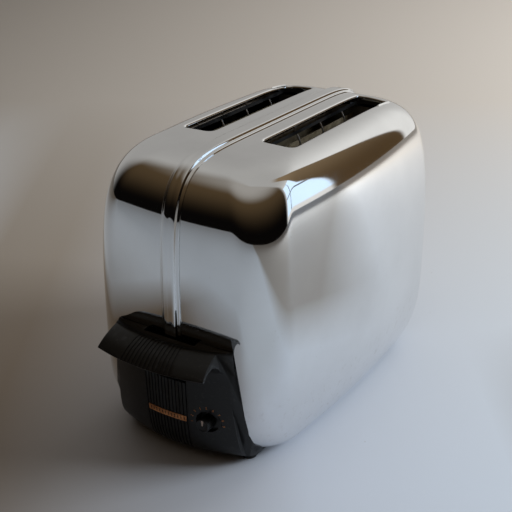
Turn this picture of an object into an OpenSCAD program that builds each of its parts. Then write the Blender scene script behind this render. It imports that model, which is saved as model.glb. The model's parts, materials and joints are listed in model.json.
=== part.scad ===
// Two-slot automatic toaster, built as separate pieces.
// Millimetres. +Z is up, the control end faces -Y, the floor is Z = 0 and X = 0 is the centre seam.

/* [Body] */
// Width of the chrome body at its widest
body_w = 156; // [140:1:180]
// Length of the chrome body, without the end panels
body_l = 248; // [235:1:290]
// Height of the roof over the floor
body_h = 197; // [185:1:230]
// Height at which the body is widest
widest_z = 76; // [60:1:90]
// Height of the bottom rim over the floor
rim_z = 8; // [7:0.5:12]
// Plan radius of the upright corners
corner_r = 23; // [10:1:30]
// How far a long side bows out between its ends
side_bow = 7.8; // [0:0.2:10]
// How far an end bows out between its corners
end_bow = 6.5; // [0:0.5:9]
// Sheet thickness of the shell
shell_t = 1.2; // [0.8:0.1:1.6]
// Width of the flange turned in round the bottom rim
rim_flange = 10; // [8:1:12]

/* [Slots] */
// Width of a bread slot
slot_w = 23.7; // [20:0.1:25]
// Length of a bread slot
slot_l = 136.5; // [120:0.5:140]
// Distance of a slot's centreline from the seam
slot_x = 30.9; // [29:0.1:33]
// Y of the front end of the slots
slot_front_y = -49.5; // [-55:0.5:-45]
// Plan radius of a slot's corners
slot_corner_r = 5; // [3:0.5:8]
// Depth of the lip turned down round a slot
lip_depth = 5; // [3:0.5:8]
// Wall of the lip
lip_t = 1; // [0.8:0.1:1.4]

/* [Centre band] */
// Width of the band over its flanges
band_w = 14.2; // [12:0.2:18]
// Width of the band's raised crown
band_crown_w = 9.6; // [6:0.2:11]
// Height of the crown over the body
band_h = 2.6; // [1.6:0.1:3.2]
// Height of the flanges over the body
band_flange_h = 0.9; // [0.6:0.1:1.4]
// Height of the band's lower ends over the floor
band_end_z = 84; // [78:1:86]

/* [End panels] */
// Plan radius of a panel's bow, at its flutes
panel_r = 126.8; // [110:0.2:150]
// Projection of the panel's face in front of the body
panel_out = 10; // [9:0.5:13]
// Wall of the moulding
panel_wall = 3.2; // [2.4:0.1:4]
// Height of the panel's underside over the floor
panel_under_z = 4.5; // [4:0.5:6]
// Height of the handle's ridge over the floor
ridge_z = 87; // [85:0.5:92]
// Height of the handle's lower front edge over the floor
tip_z = 76.6; // [74:0.2:80]
// Projection of the handle's front edge in front of the body
tip_out = 31; // [26:0.5:36]
// Half-width of the handle at its ends
visor_half_w = 38.4; // [34:0.2:42]
// Half-width of the band's cut-out in the trough
cutout_half_w = 19.8; // [12:0.2:24]
// Depth of that cut-out, in front of the body
cutout_depth = 4; // [3.4:0.1:5]
// Number of flutes
flute_count = 12; // [8:1:16]
// Half-width of the fluted field
flute_half_w = 15.8; // [12:0.2:18]
// Depth of a flute
flute_depth = 0.9; // [0.5:0.1:1.3]
// Height of the flutes' upper end over the floor
flute_top_z = 60; // [56:0.5:62]
// Number of ribs on the handle
rib_count = 12; // [8:1:16]

/* [Nameplate and control] */
// Width of the bare nameplate
plate_w = 30.4; // [24:0.2:31]
// Height of the nameplate
plate_h = 4.2; // [3:0.2:6]
// Height of the nameplate's lower edge over the floor
plate_z = 30.7; // [26:0.5:36]
// X of the control's axis
knob_x = 29.4; // [28:0.2:31]
// Z of the control's axis
knob_z = 33.8; // [32:0.2:36]
// Radius of the recess round the knob
recess_r = 7.6; // [7:0.1:8.4]
// Radius of the knob
knob_r = 4.6; // [3.6:0.1:5.2]
// How far the knob stands out in front of the panel
knob_out = 5.5; // [3:0.5:8]
// Radius of the knob's shaft
knob_shaft_r = 2; // [1.6:0.1:2.4]
// Number of ticks round the knob
tick_count = 9; // [5:1:13]

/* [Carriage] */
// Height of the raised racks' ledges over the floor
rack_up_z = 112; // [106:1:114]
// Travel of the racks
rack_travel = 62; // [54:1:62]
// Width of a rack's ledge
ledge_w = 12; // [9:0.5:14]
// Radius of the guide rod
rod_r = 2.5; // [2:0.1:3]
// Radial clearance of the crosshead's bush on the rod
rod_gap = 0.05; // [0.02:0.01:0.09]

/* [Base] */
// Thickness of the base pan
pan_t = 1.5; // [1:0.1:2]
// Thickness of the crumb tray's sheet
tray_t = 1; // [0.8:0.1:1.4]
// Radius of a foot
foot_r = 5; // [4:0.5:6]
// Radius of the crumb tray's hinge pin
tray_pin_r = 1.2; // [1:0.1:1.5]
// Radial clearance of the crumb tray on its pin
tray_pin_gap = 0.05; // [0.02:0.01:0.09]

/* [Heaters] */
// Turns of ribbon on one heater card
ribbon_turns = 12; // [8:1:16]
// Width of the heater ribbon
ribbon_w = 1.6; // [1:0.1:2.4]
// Radius of a guard wire
wire_r = 0.8; // [0.6:0.1:1]
// Spacing of the upright guard wires along a well
wire_pitch = 31.8; // [20:0.2:32]

/* [Hidden] */

$fn = 48;
eps = 0.01;
// clearance between pieces that don't touch
gap = 0.3;

// Body form. Upper and lower halves are rounded boxes whose half-width and half-length shrink by
// these powers of the height.
top_side_rise = 2.65;
top_side_round = 7.8;
top_end_rise = 5.3;
top_end_round = 7.7;
low_side_drop = 3.97;
low_side_round = 4.29;
low_end_drop = 4.13;
low_end_round = 1.5;
// height under the widest line at which the lower form would close to a point
low_reach = 85.5;
// extra plan radius of the corners for each millimetre that the side comes in
corner_gain = 0.21;

function shrink(s, rise, round_) = pow(max(0, 1 - pow(s, rise)), 1 / round_);
// share of the way from the widest line to the roof, or to the lower closing point
function up_share(z) = (z - widest_z) / (body_h - widest_z);
function low_share(z) = (widest_z - z) / low_reach;
function half_w(z) = body_w / 2 * (z >= widest_z
    ? shrink(up_share(z), top_side_rise, top_side_round)
    : shrink(low_share(z), low_side_drop, low_side_round));
function half_l(z) = body_l / 2 * (z >= widest_z
    ? shrink(up_share(z), top_end_rise, top_end_round)
    : shrink(low_share(z), low_end_drop, low_end_round));

// Half of a horizontal section, x >= 0, from the back seam round to the front seam.
arc_steps = 6;
flat_steps = 4;
side_steps = 8;
function raw_half(a, b, r) = concat(
    [for (i = [0 : flat_steps - 1]) [(a - r) * i / flat_steps, b]],
    [for (i = [0 : arc_steps]) [a - r + r * sin(90 * i / arc_steps), b - r + r * cos(90 * i / arc_steps)]],
    [for (i = [1 : side_steps - 1]) [a, (b - r) * (1 - 2 * i / side_steps)]],
    [for (i = [arc_steps : -1 : 0]) [a - r + r * sin(90 * i / arc_steps), -(b - r) - r * cos(90 * i / arc_steps)]],
    [for (i = [flat_steps - 1 : -1 : 0]) [(a - r) * i / flat_steps, -b]]);
function bowed(p, a, b) = [
    p[0] - side_bow * pow(p[1] / (body_l / 2), 2) * p[0] / a,
    p[1] - end_bow * pow(p[0] / (body_w / 2), 2) * p[1] / b];
function section(z, inset) =
    let (a = half_w(z), b = half_l(z),
         r = min(corner_r + corner_gain * (body_w / 2 - a), 0.96 * a, 0.96 * b))
    [for (p = raw_half(a - inset, b - inset, max(1, r - inset))) bowed(p, a, b)];
half_count = len(section(widest_z, 0));

// Heights of the section rings, closer together where the form turns.
low_rings = 6;
top_rings = 15;
function ring_heights() = concat(
    [for (i = [0 : low_rings]) rim_z + (widest_z - rim_z) * i / low_rings],
    [for (i = [1 : top_rings]) widest_z + (body_h - widest_z) * (1 - pow(1 - i / (top_rings + 0.4), 2.4))]);
heights = ring_heights();
// share by which the inner skin is pulled under the roof
inner_fall = (body_h - widest_z - shell_t) / (body_h - widest_z);
function inner_z(z) = z <= widest_z ? z : widest_z + (z - widest_z) * inner_fall;
function ring3(z, inset, at_z) = [for (p = section(z, inset)) [p[0], p[1], at_z]];

// One half shell: outer and inner skins closed along the seam and round the bottom flange.
module half_shell_skin() {
    outer = concat([ring3(rim_z, rim_flange, rim_z)], [for (z = heights) ring3(z, 0, z)]);
    inner = concat([ring3(rim_z, rim_flange, rim_z + shell_t)],
                   [for (z = heights) ring3(z, shell_t, z == rim_z ? rim_z + shell_t : inner_z(z))]);
    rows = len(outer);
    cols = half_count;
    points = concat([for (r = outer) for (p = r) p], [for (r = inner) for (p = r) p],
                    [[0, 0, body_h], [0, 0, body_h - shell_t]]);
    inner_from = rows * cols;
    top_outer = 2 * rows * cols;
    top_inner = top_outer + 1;
    function at(skin, i, j) = skin * inner_from + i * cols + j;
    outer_faces = [for (i = [0 : rows - 2]) for (j = [0 : cols - 2])
        for (f = [[at(0, i, j), at(0, i + 1, j), at(0, i + 1, j + 1)],
                  [at(0, i, j), at(0, i + 1, j + 1), at(0, i, j + 1)]]) f];
    inner_faces = [for (i = [0 : rows - 2]) for (j = [0 : cols - 2])
        for (f = [[at(1, i, j), at(1, i + 1, j + 1), at(1, i + 1, j)],
                  [at(1, i, j), at(1, i, j + 1), at(1, i + 1, j + 1)]]) f];
    cap_faces = [for (j = [0 : cols - 2])
        for (f = [[at(0, rows - 1, j), top_outer, at(0, rows - 1, j + 1)],
                  [at(1, rows - 1, j), at(1, rows - 1, j + 1), top_inner]]) f];
    rim_faces = [for (j = [0 : cols - 2])
        for (f = [[at(0, 0, j), at(0, 0, j + 1), at(1, 0, j + 1)],
                  [at(0, 0, j), at(1, 0, j + 1), at(1, 0, j)]]) f];
    seam_faces = [for (e = [0, cols - 1]) for (i = [0 : rows - 2])
        let (a = at(0, i, e), b = at(0, i + 1, e), c = at(1, i + 1, e), d = at(1, i, e))
        for (f = e == 0 ? [[a, c, b], [a, d, c]] : [[a, b, c], [a, c, d]]) f];
    crown_faces = [
        [at(0, rows - 1, 0), at(1, rows - 1, 0), top_inner], [at(0, rows - 1, 0), top_inner, top_outer],
        [at(0, rows - 1, cols - 1), top_inner, at(1, rows - 1, cols - 1)],
        [at(0, rows - 1, cols - 1), top_outer, top_inner]];
    all_faces = concat(outer_faces, inner_faces, cap_faces, rim_faces, seam_faces, crown_faces);
    polyhedron(points, [for (f = all_faces) [f[2], f[1], f[0]]]);
}

slot_back_y = slot_front_y + slot_l;
slot_mid_y = slot_front_y + slot_l / 2;

module rounded_rect(w, l, r) {
    square([w - 2 * r, l], center = true);
    square([w, l - 2 * r], center = true);
    for (sx = [-1, 1])
        for (sy = [-1, 1])
            translate([sx * (w / 2 - r), sy * (l / 2 - r)])
                circle(r);
}

// A slot's outline grown by g, as a prism.
module slot_prism(g, z0, h) {
    translate([slot_x, slot_mid_y, z0])
        linear_extrude(h)
            rounded_rect(slot_w + 2 * g, slot_l + 2 * g, slot_corner_r + g);
}

lip_top_z = body_h - 0.6 * shell_t - 0.6;
lip_bottom_z = body_h - lip_depth;

// Clearance holes in the shells behind the panels: the control's shaft and the cord.
module end_holes() {
    translate([knob_x, -body_l / 2 - 20, knob_z])
        rotate([-90, 0, 0])
            cylinder(r = knob_shaft_r + 2, h = 60);
    at_inlet(body_l / 2 + 20)
        cylinder(r = inlet_r + gap, h = 60);
}

module half_shell(side) {
    color("gainsboro")
        difference() {
            union() {
                difference() {
                    mirror([side < 0 ? 1 : 0, 0, 0])
                        half_shell_skin();
                    mirror([side < 0 ? 1 : 0, 0, 0])
                        slot_prism(0, body_h - 30, 60);
                }
                mirror([side < 0 ? 1 : 0, 0, 0])
                    difference() {
                        slot_prism(lip_t, lip_bottom_z, lip_top_z - lip_bottom_z);
                        slot_prism(0, lip_bottom_z - eps, lip_top_z - lip_bottom_z + 2 * eps);
                    }
            }
            end_holes();
            rim_screw_holes();
        }
}

module left_shell() {
    half_shell(-1);
}

module right_shell() {
    half_shell(1);
}

// The centre band follows the seam's profile at a height over the body.
band_steps = 22;
function seam_side(h) = concat(
    [for (i = [0 : 5]) [body_l / 2 + h, band_end_z + (widest_z + 40 - band_end_z) * i / 6]],
    [for (i = [0 : band_steps])
        let (s = 40 / (body_h - widest_z) + (1 - 40 / (body_h - widest_z)) * (1 - pow(1 - i / (band_steps + 0.5), 2.4)))
        [(body_l / 2 + h) * shrink(s, top_end_rise, top_end_round), widest_z + (body_h + h - widest_z) * s]]);
function seam_profile(h) =
    let (side = seam_side(h), n = len(side))
    concat(side, [for (i = [n - 1 : -1 : 0]) [-side[i][0], side[i][1]]]);

module band_layer(w, h) {
    outer = seam_profile(h);
    inner = seam_profile(0.02);
    n = len(outer);
    rotate([90, 0, 90])
        translate([0, 0, -w / 2])
            linear_extrude(w)
                polygon(concat(outer, [for (i = [n - 1 : -1 : 0]) inner[i]]));
}

module centre_band() {
    color("silver") {
        band_layer(band_w, band_flange_h);
        band_layer(band_crown_w, band_h);
    }
}

// End panels. The section is drawn as [distance in front of the body, height] and turned about an
// upright axis, so the moulding is bowed in plan.
body_front = body_l / 2;
axis_back = panel_r - panel_out - body_front;
function to_r(out) = out + body_front + axis_back;

outer_face = [
    [tip_out - 16.2, ridge_z - 9.6], [tip_out - 20, ridge_z - 16], [panel_out + 0.2, flute_top_z + 2],
    [panel_out, flute_top_z], [panel_out - 0.4, 46], [panel_out - 1.2, 32], [panel_out - 2.6, 20],
    [panel_out - 4.4, 12.5], [panel_out - 7.4, 7.6], [panel_out - 11.6, 5.2], [panel_out - 16, panel_under_z]];
handle_top = [
    [-6, ridge_z + 1.2], [3.2, ridge_z - 1.2], [8.4, ridge_z - 1.5], [11.2, ridge_z - 0.6], [13.4, ridge_z],
    [15.2, ridge_z - 0.3], [19.6, ridge_z - 2.2], [tip_out - 6.2, ridge_z - 5], [tip_out - 2, ridge_z - 8.4],
    [tip_out, tip_z]];
handle_under = [
    [tip_out - 0.8, tip_z - 0.9], [tip_out - 2.6, tip_z + 0.2], [tip_out - 6, tip_z + 2.6],
    [tip_out - 10, tip_z + 3.8], [tip_out - 13.2, tip_z + 3.2]];
screw_x = 30;
screw_r = 1.5;
screw_head_r = 2.8;
screw_head_t = 1.6;
// the screws stand on the middle line of the shells' flange
screw_y = half_l(rim_z) - rim_flange / 2 - end_bow * pow(screw_x / (body_w / 2), 2);
floor_edge_y = screw_y - screw_head_r - 1.2;
floor_back = floor_edge_y - body_front;
floor_t = 3;
wall_in = panel_out - panel_wall;
inner_face = [
    [floor_back, panel_under_z], [floor_back, panel_under_z + floor_t], [wall_in - 13.2, panel_under_z + floor_t],
    [wall_in - 9.4, 8.4], [wall_in - 6.2, 10.6], [wall_in - 4, 14.4], [wall_in - 2.6, 21],
    [wall_in - 1.2, 32], [wall_in - 0.4, 46], [wall_in, flute_top_z], [wall_in + 0.6, 72],
    [wall_in - 0.2, ridge_z - 5.2], [wall_in - 4.8, ridge_z - 4.6], [-6, ridge_z - 3]];
panel_section = concat(handle_top, handle_under, outer_face, inner_face);

module turned(points, half_angle) {
    translate([0, axis_back, 0])
        rotate([0, 0, -90 - half_angle])
            rotate_extrude(angle = 2 * half_angle)
                polygon([for (p = points) [to_r(p[0]), p[1]]]);
}

// The body's end, as a disc whose rim is the end's profile at x = 0. A bow of end_bow over the
// half-width gives the disc's radius.
end_bow_r = pow(body_w / 2, 2) / (2 * max(end_bow, 0.5));
module body_end(clear) {
    zs = [for (i = [0 : 16]) rim_z + (ridge_z + 8 - rim_z) * i / 16];
    translate([0, end_bow_r - body_front, 0])
        rotate([0, 0, -90 - 14])
            rotate_extrude(angle = 28)
                polygon(concat(
                    [[end_bow_r - 60, rim_z - clear]],
                    [[end_bow_r - body_front + half_l(rim_z) + clear, rim_z - clear]],
                    [for (z = zs) [end_bow_r - body_front + half_l(z) + clear, z]],
                    [[end_bow_r - 60, ridge_z + 8]]));
}

// The moulding's ends: straight beside the handle, then a facet that flares back to the body. Each
// point is [half-width, y, height]: the facet's front crease, and where it meets the body.
crease = [
    [visor_half_w, -body_front - 8.7, ridge_z + 3], [visor_half_w + 6.9, -body_front - 2.6, 54],
    [visor_half_w + 10.4, -body_front + 8.6, 9], [visor_half_w + 10.8, -body_front + 12, 0]];
facet_foot = [
    [visor_half_w + 5.2, -body_front + 1.7, ridge_z + 3], [visor_half_w + 9.4, -body_front + 2.2, 75],
    [visor_half_w + 14.3, -body_front + 3, 54], [visor_half_w + 14.2, -body_front + 19, 0]];
module panel_limits() {
    outline = [for (p = crease) [p[0], p[2]]];
    translate([0, -body_front + 45, 0])
        rotate([90, 0, 0])
            linear_extrude(110)
                polygon(concat(outline, [for (i = [len(outline) - 1 : -1 : 0]) [-outline[i][0], outline[i][1]]]));
    hull()
        for (sx = [-1, 1])
            for (p = concat(crease, facet_foot, [for (f = facet_foot) [f[0], -body_front + 45, f[2]]]))
                translate([sx * p[0], p[1], p[2]])
                    cube(eps, center = true);
}

// Angle about the panel's upright axis for a distance x along the face.
function face_angle(x) = asin(x / panel_r);

module flute_cutters() {
    face = [for (p = outer_face) if (p[1] <= flute_top_z) p];
    n = len(face);
    pitch = 2 * face_angle(flute_half_w) / flute_count;
    band = concat([for (p = face) [p[0] + 3, p[1] - 0.5]],
                  [for (i = [n - 1 : -1 : 0]) [face[i][0] - flute_depth, face[i][1] + 0.35 * flute_depth]]);
    for (i = [0 : flute_count])
        rotate_about_axis(-face_angle(flute_half_w) + i * pitch)
            turned(band, 0.2);
}

module rotate_about_axis(a) {
    translate([0, axis_back, 0])
        rotate([0, 0, a])
            translate([0, -axis_back, 0])
                children();
}

// The dark recess between the flutes and the handle.
recess_h = 5;
module flute_recess() {
    turned([[panel_out + 6, flute_top_z], [panel_out - 2, flute_top_z],
            [panel_out - 2, flute_top_z + recess_h], [panel_out + 6, flute_top_z + recess_h]],
           face_angle(flute_half_w + 0.4));
}

module rib_cutters() {
    crest = [for (p = handle_top) if (p[0] > 11) p];
    n = len(crest);
    band = concat([for (p = crest) [p[0] + 1.2, p[1] + 2]],
                  [for (i = [n - 1 : -1 : 0]) [crest[i][0] - 0.35, crest[i][1] - 0.45]]);
    for (i = [0 : rib_count])
        rotate_about_axis(face_angle(flute_half_w) * (2 * i / rib_count - 1))
            turned(band, 0.16);
}

module panel_moulding() {
    difference() {
        intersection() {
            turned(panel_section, 32);
            panel_limits();
        }
        body_end(0.1);
        // cut-out for the band in the trough
        translate([-cutout_half_w, -body_front - cutout_depth, ridge_z - 8])
            cube([2 * cutout_half_w, cutout_depth + 10, 20]);
        flute_cutters();
        flute_recess();
        rib_cutters();
        // straight inner edge of the floor, behind the rim
        translate([-body_w / 2, -floor_edge_y, 0])
            cube([body_w, 60, 20]);
        panel_screw_holes();
    }
}

// Screws through the panels' floors and the shells' flanges into the base pan.
module at_panel_screws() {
    for (sx = [-1, 1])
        translate([sx * screw_x, -screw_y, 0])
            children();
}

module panel_screw_holes() {
    at_panel_screws()
        cylinder(r = screw_r + 0.1, h = 20, $fn = 24);
}

module rim_screw_holes() {
    for (s = [0, 1])
        mirror([0, s, 0])
            at_panel_screws()
                cylinder(r = screw_r + 0.1, h = 11, $fn = 24);
}

plate_seat = 0.5;
function face_out(z) = lookup(z, [for (i = [len(outer_face) - 1 : -1 : 0]) [outer_face[i][1], outer_face[i][0]]]);

module nameplate_seat() {
    lo = face_out(plate_z);
    hi = face_out(plate_z + plate_h);
    turned([[lo + 3, plate_z], [lo - plate_seat, plate_z], [hi - plate_seat, plate_z + plate_h], [hi + 3, plate_z + plate_h]],
           face_angle(plate_w / 2));
}

module nameplate() {
    lo = face_out(plate_z);
    hi = face_out(plate_z + plate_h);
    color("peru")
        turned([[lo + 0.7, plate_z + 0.05], [lo - plate_seat, plate_z + 0.05],
                [hi - plate_seat, plate_z + plate_h - 0.05], [hi + 0.7, plate_z + plate_h - 0.05]],
               face_angle(plate_w / 2 - 0.1));
}

// The control: face_y is the panel's surface at the knob.
face_y = axis_back - sqrt(pow(to_r(face_out(knob_z)), 2) - pow(knob_x, 2));
knob_front_y = face_y - knob_out;
recess_floor_y = face_y + 5.2;
boss_back_y = recess_floor_y + panel_wall;
module at_knob(y) {
    translate([knob_x, y, knob_z])
        rotate([-90, 0, 0])
            children();
}

module knob_boss() {
    at_knob(face_y + 0.6)
        cylinder(r = recess_r + 2, h = boss_back_y - face_y - 0.6);
}

module knob_recess() {
    at_knob(face_y - 10)
        cylinder(r = recess_r, h = 10 + recess_floor_y - face_y);
    at_knob(face_y - 10)
        cylinder(r = knob_shaft_r + 0.06, h = 40);
}

module dial_ticks() {
    color("darkorange")
        tick_ring();
}

module tick_ring() {
    for (i = [0 : tick_count - 1])
        tick(180 - 180 * i / (tick_count - 1));
}

// A tick is let into the panel and stands on the panel's face at an angle q round the knob, from +X towards +Z.
tick_ring_r = 10.4;
module tick(q) {
    tx = knob_x + tick_ring_r * cos(q);
    tz = knob_z + tick_ring_r * sin(q);
    ty = axis_back - sqrt(pow(to_r(face_out(tz)), 2) - pow(tx, 2));
    translate([tx, ty + 0.5, tz])
        rotate([0, -q, atan(tx / panel_r)])
            translate([-0.9, -0.62, -0.25])
                cube([1.8, 0.62, 0.5]);
}

module front_panel() {
    color([0.09, 0.09, 0.1])
        difference() {
            union() {
                panel_moulding();
                difference() {
                    knob_boss();
                    body_end(0.1);
                }
            }
            knob_recess();
            nameplate_seat();
            foot_seats();
            tick_ring();
        }
}

module rear_panel() {
    color([0.09, 0.09, 0.1])
        difference() {
            mirror([0, 1, 0])
                difference() {
                    panel_moulding();
                    foot_seats();
                }
            at_inlet(inlet_outer_y + 20)
                cylinder(r = inlet_r, h = 60);
            at_inlet(inlet_outer_y + 20)
                cylinder(r = inlet_r + inlet_lip + 0.05, h = 20 + inlet_lip_t);
        }
}

knob_skirt_t = 1.6;
module control_knob() {
    color([0.08, 0.08, 0.08])
        difference() {
            union() {
                at_knob(knob_front_y)
                    cylinder(r = knob_r, h = recess_floor_y - gap - knob_front_y);
                at_knob(recess_floor_y - gap - knob_skirt_t)
                    cylinder(r = recess_r - 0.5, h = knob_skirt_t);
            }
            at_knob(knob_front_y + 3)
                cylinder(r = knob_shaft_r, h = 40);
            at_knob(knob_front_y - 1)
                translate([-0.6, -knob_r - 1, 0])
                    cube([1.2, knob_r + 1, 1.5]);
        }
}

module knob_pointer() {
    color("linen")
        at_knob(knob_front_y - 0.1)
            translate([-0.6, -knob_r + 0.4, 0])
                cube([1.2, knob_r - 0.4, 0.6]);
}

// The shaft carries the cam that sets the bimetal.
cam_y = -98;
cam_r = 6;
module knob_shaft() {
    color("lightgray") {
        at_knob(knob_front_y + 3)
            cylinder(r = knob_shaft_r, h = cam_y + 6 - knob_front_y - 3);
        at_knob(cam_y)
            translate([1.2, 0, 0])
                cylinder(r = cam_r - 1.2, h = 4);
    }
}

pan_z = rim_z + shell_t;
pan_top = pan_z + pan_t;
strip_x = knob_x + cam_r + gap;
strip_t = 0.8;
strip_w = 8;
strip_l = 52;
strip_z = pan_top + 12;
module bimetal_strip() {
    color("goldenrod")
        translate([strip_x, cam_y - 2, strip_z])
            cube([strip_t, strip_w, strip_l]);
}

bracket_y = cam_y + 14;
bracket_w = 10;
bracket_t = 1.5;
module bimetal_bracket() {
    color("darkgray")
        translate([strip_x + strip_t, 0, 0]) {
            translate([0, bracket_y, pan_top])
                cube([bracket_w, bracket_w, bracket_t]);
            translate([0, bracket_y, pan_top])
                cube([bracket_w, bracket_t, strip_z + strip_w - pan_top]);
            translate([0, cam_y - 2, strip_z])
                cube([2, bracket_y + bracket_t - cam_y + 2, strip_w]);
        }
}

// The wells run between two chassis plates, just outside the slots' liners.
plate_t = 1.2;
liner_t = 1;
front_plate_y = slot_front_y - lip_t - liner_t - plate_t;
rear_plate_y = slot_back_y + lip_t + liner_t;

// Base pan: a flat sheet on the shells' flange, with an opening for the crumb tray.
tray_half_w = 47;
tray_front_y = front_plate_y - 0.3;
tray_lap = 3;
tray_pin_z = rim_z - 1.6;
knuckle_r = tray_pin_r + 1.2;
tray_pin_y = floor_edge_y - knuckle_r - 1;
ear_w = 4;
ear_x = 30;
module base_pan() {
    outline = section(rim_z, shell_t + gap);
    n = len(outline);
    color([0.16, 0.16, 0.17])
        difference() {
            union() {
                translate([0, 0, pan_z])
                    linear_extrude(pan_t)
                        polygon(concat(outline, [for (i = [n - 2 : -1 : 1]) [-outline[i][0], outline[i][1]]]));
                for (sx = [-1, 1])
                    translate([sx * (ear_x + ear_w / 2) - ear_w / 2, tray_pin_y - knuckle_r, tray_pin_z - knuckle_r])
                        cube([ear_w, 2 * knuckle_r, pan_z + eps - tray_pin_z + knuckle_r]);
            }
            translate([-tray_half_w + tray_lap, tray_front_y + tray_lap, 0])
                cube([2 * (tray_half_w - tray_lap), tray_pin_y - knuckle_r - gap - tray_front_y - tray_lap, 40]);
            rim_screw_holes_in_pan();
            translate([0, tray_pin_y, tray_pin_z])
                rotate([0, 90, 0])
                    cylinder(r = tray_pin_r, h = 100, center = true, $fn = 24);
        }
}

module rim_screw_holes_in_pan() {
    for (s = [0, 1])
        mirror([0, s, 0])
            at_panel_screws()
                cylinder(r = screw_r, h = 40, $fn = 24);
}

tray_z = pan_z - gap - tray_t;
module crumb_tray() {
    color("darkgray")
        difference() {
            union() {
                translate([-tray_half_w, tray_front_y, tray_z])
                    cube([2 * tray_half_w, tray_pin_y - tray_front_y - knuckle_r - 1, tray_t]);
                translate([-ear_x + gap, tray_pin_y - knuckle_r - 2, tray_z])
                    cube([2 * (ear_x - gap), knuckle_r + 2, tray_t]);
                translate([-ear_x + gap, tray_pin_y, tray_pin_z])
                    rotate([0, 90, 0])
                        cylinder(r = knuckle_r, h = 2 * (ear_x - gap));
            }
            translate([0, tray_pin_y, tray_pin_z])
                rotate([0, 90, 0])
                    cylinder(r = tray_pin_r + tray_pin_gap, h = 120, center = true);
        }
}

catch_w = 12;
module tray_catch() {
    color("lightsteelblue") {
        translate([-catch_w / 2, tray_front_y + tray_lap + gap + 0.2, tray_z + tray_t])
            cube([catch_w, 0.6, 5]);
        translate([-catch_w / 2, tray_front_y + tray_lap + gap + 0.2, tray_z + tray_t])
            cube([catch_w, 8, 0.6]);
    }
}

module tray_hinge_pin() {
    color("silver")
        translate([-ear_x - ear_w, tray_pin_y, tray_pin_z])
            rotate([0, 90, 0])
                cylinder(r = tray_pin_r, h = 2 * (ear_x + ear_w));
}

// Feet under the panels' corners, each with its screw.
foot_x = 45;
foot_y = body_l / 2 - 19.5;
foot_top = panel_under_z + 1;
module at_feet() {
    for (sx = [-1, 1])
        for (sy = [-1, 1])
            translate([sx * foot_x, sy * foot_y, 0])
                children();
}

module foot_seats() {
    for (sx = [-1, 1])
        translate([sx * foot_x, -foot_y, 0]) {
            cylinder(r = foot_r - 1, h = foot_top);
            cylinder(r = screw_r, h = foot_top + 5, $fn = 24);
        }
}

module feet() {
    color([0.05, 0.05, 0.05])
        difference() {
            at_feet() {
                cylinder(r = foot_r, h = panel_under_z);
                cylinder(r = foot_r - 1, h = foot_top);
            }
            at_feet() {
                cylinder(r = screw_r, h = 20, $fn = 24);
                translate([0, 0, -eps])
                    cylinder(r = 3, h = 2 + eps, $fn = 24);
            }
        }
}

module foot_screws() {
    color("silver")
        at_feet() {
            cylinder(r = screw_r, h = foot_top + 2, $fn = 24);
            translate([0, 0, 0.8])
                cylinder(r = 2.6, h = 1.2, $fn = 24);
        }
}

module panel_screws() {
    color("silver")
        for (s = [0, 1])
            mirror([0, s, 0])
                at_panel_screws() {
                    translate([0, 0, panel_under_z])
                        cylinder(r = screw_r, h = pan_top + 1 - panel_under_z, $fn = 24);
                    translate([0, 0, panel_under_z - screw_head_t])
                        cylinder(r = screw_head_r, h = screw_head_t, $fn = 24);
                }
}

// Chassis plates close the wells at both ends and carry liners, cards, wires and the mechanism.
plate_half_w = 52;
plate_top = body_h - 11;
arm_t = 2;
arm_gap = 0.6;
rod_y = front_plate_y - 12;
rod_top_z = rack_up_z + 38;
flange_l = 9;
sheet_z = pan_top + 9.3;
foot_tab_w = 44;
rod_tab_w = 16;
through = 2 * body_h;

module chassis_sheet(y) {
    translate([0, y + plate_t, 0])
        rotate([90, 0, 0])
            linear_extrude(plate_t)
                difference() {
                    translate([-plate_half_w, sheet_z])
                        square([2 * plate_half_w, plate_top - sheet_z]);
                    for (sx = [-1, 1])
                        translate([sx * slot_x - arm_t / 2 - arm_gap, rack_up_z - rack_travel - 12])
                            square([arm_t + 2 * arm_gap, rack_travel + 15]);
                }
}

front_tab_w = 2 * plate_half_w - 16;
module front_chassis_plate() {
    color("slategray")
        difference() {
            union() {
                chassis_sheet(front_plate_y);
                translate([-front_tab_w / 2, front_plate_y, pan_top])
                    cube([front_tab_w, plate_t, sheet_z - pan_top + 2]);
                translate([-front_tab_w / 2, front_plate_y - flange_l + eps, pan_top])
                    cube([front_tab_w, flange_l, plate_t]);
                translate([-rod_tab_w / 2, rod_y - 6, rod_top_z - 2])
                    cube([rod_tab_w, front_plate_y - rod_y + 6 + eps, 2]);
            }
            translate([0, rod_y, 0])
                cylinder(r = rod_r, h = through);
        }
}

module rear_chassis_plate() {
    color("slategray")
        difference() {
            union() {
                chassis_sheet(rear_plate_y);
                translate([-foot_tab_w / 2, rear_plate_y, pan_top])
                    cube([foot_tab_w, plate_t, sheet_z - pan_top + 2]);
                translate([-foot_tab_w / 2, rear_plate_y + plate_t - flange_l, pan_top])
                    cube([foot_tab_w, flange_l, plate_t]);
            }
            // way for the cord
            at_inlet(rear_plate_y + 30)
                cylinder(r = inlet_r + inlet_lip, h = 60);
        }
}

liner_top = lip_bottom_z + gap;
liner_depth = 3.5;
liner_bottom = liner_top - liner_depth;
module slot_liner(side) {
    color([0.45, 0.5, 0.55])
        mirror([side < 0 ? 1 : 0, 0, 0])
            difference() {
                slot_prism(lip_t + liner_t, liner_bottom, liner_depth);
                slot_prism(lip_t, liner_bottom - eps, liner_depth + 2 * eps);
            }
}

module slot_liner_left() {
    slot_liner(-1);
}

module slot_liner_right() {
    slot_liner(1);
}

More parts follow.
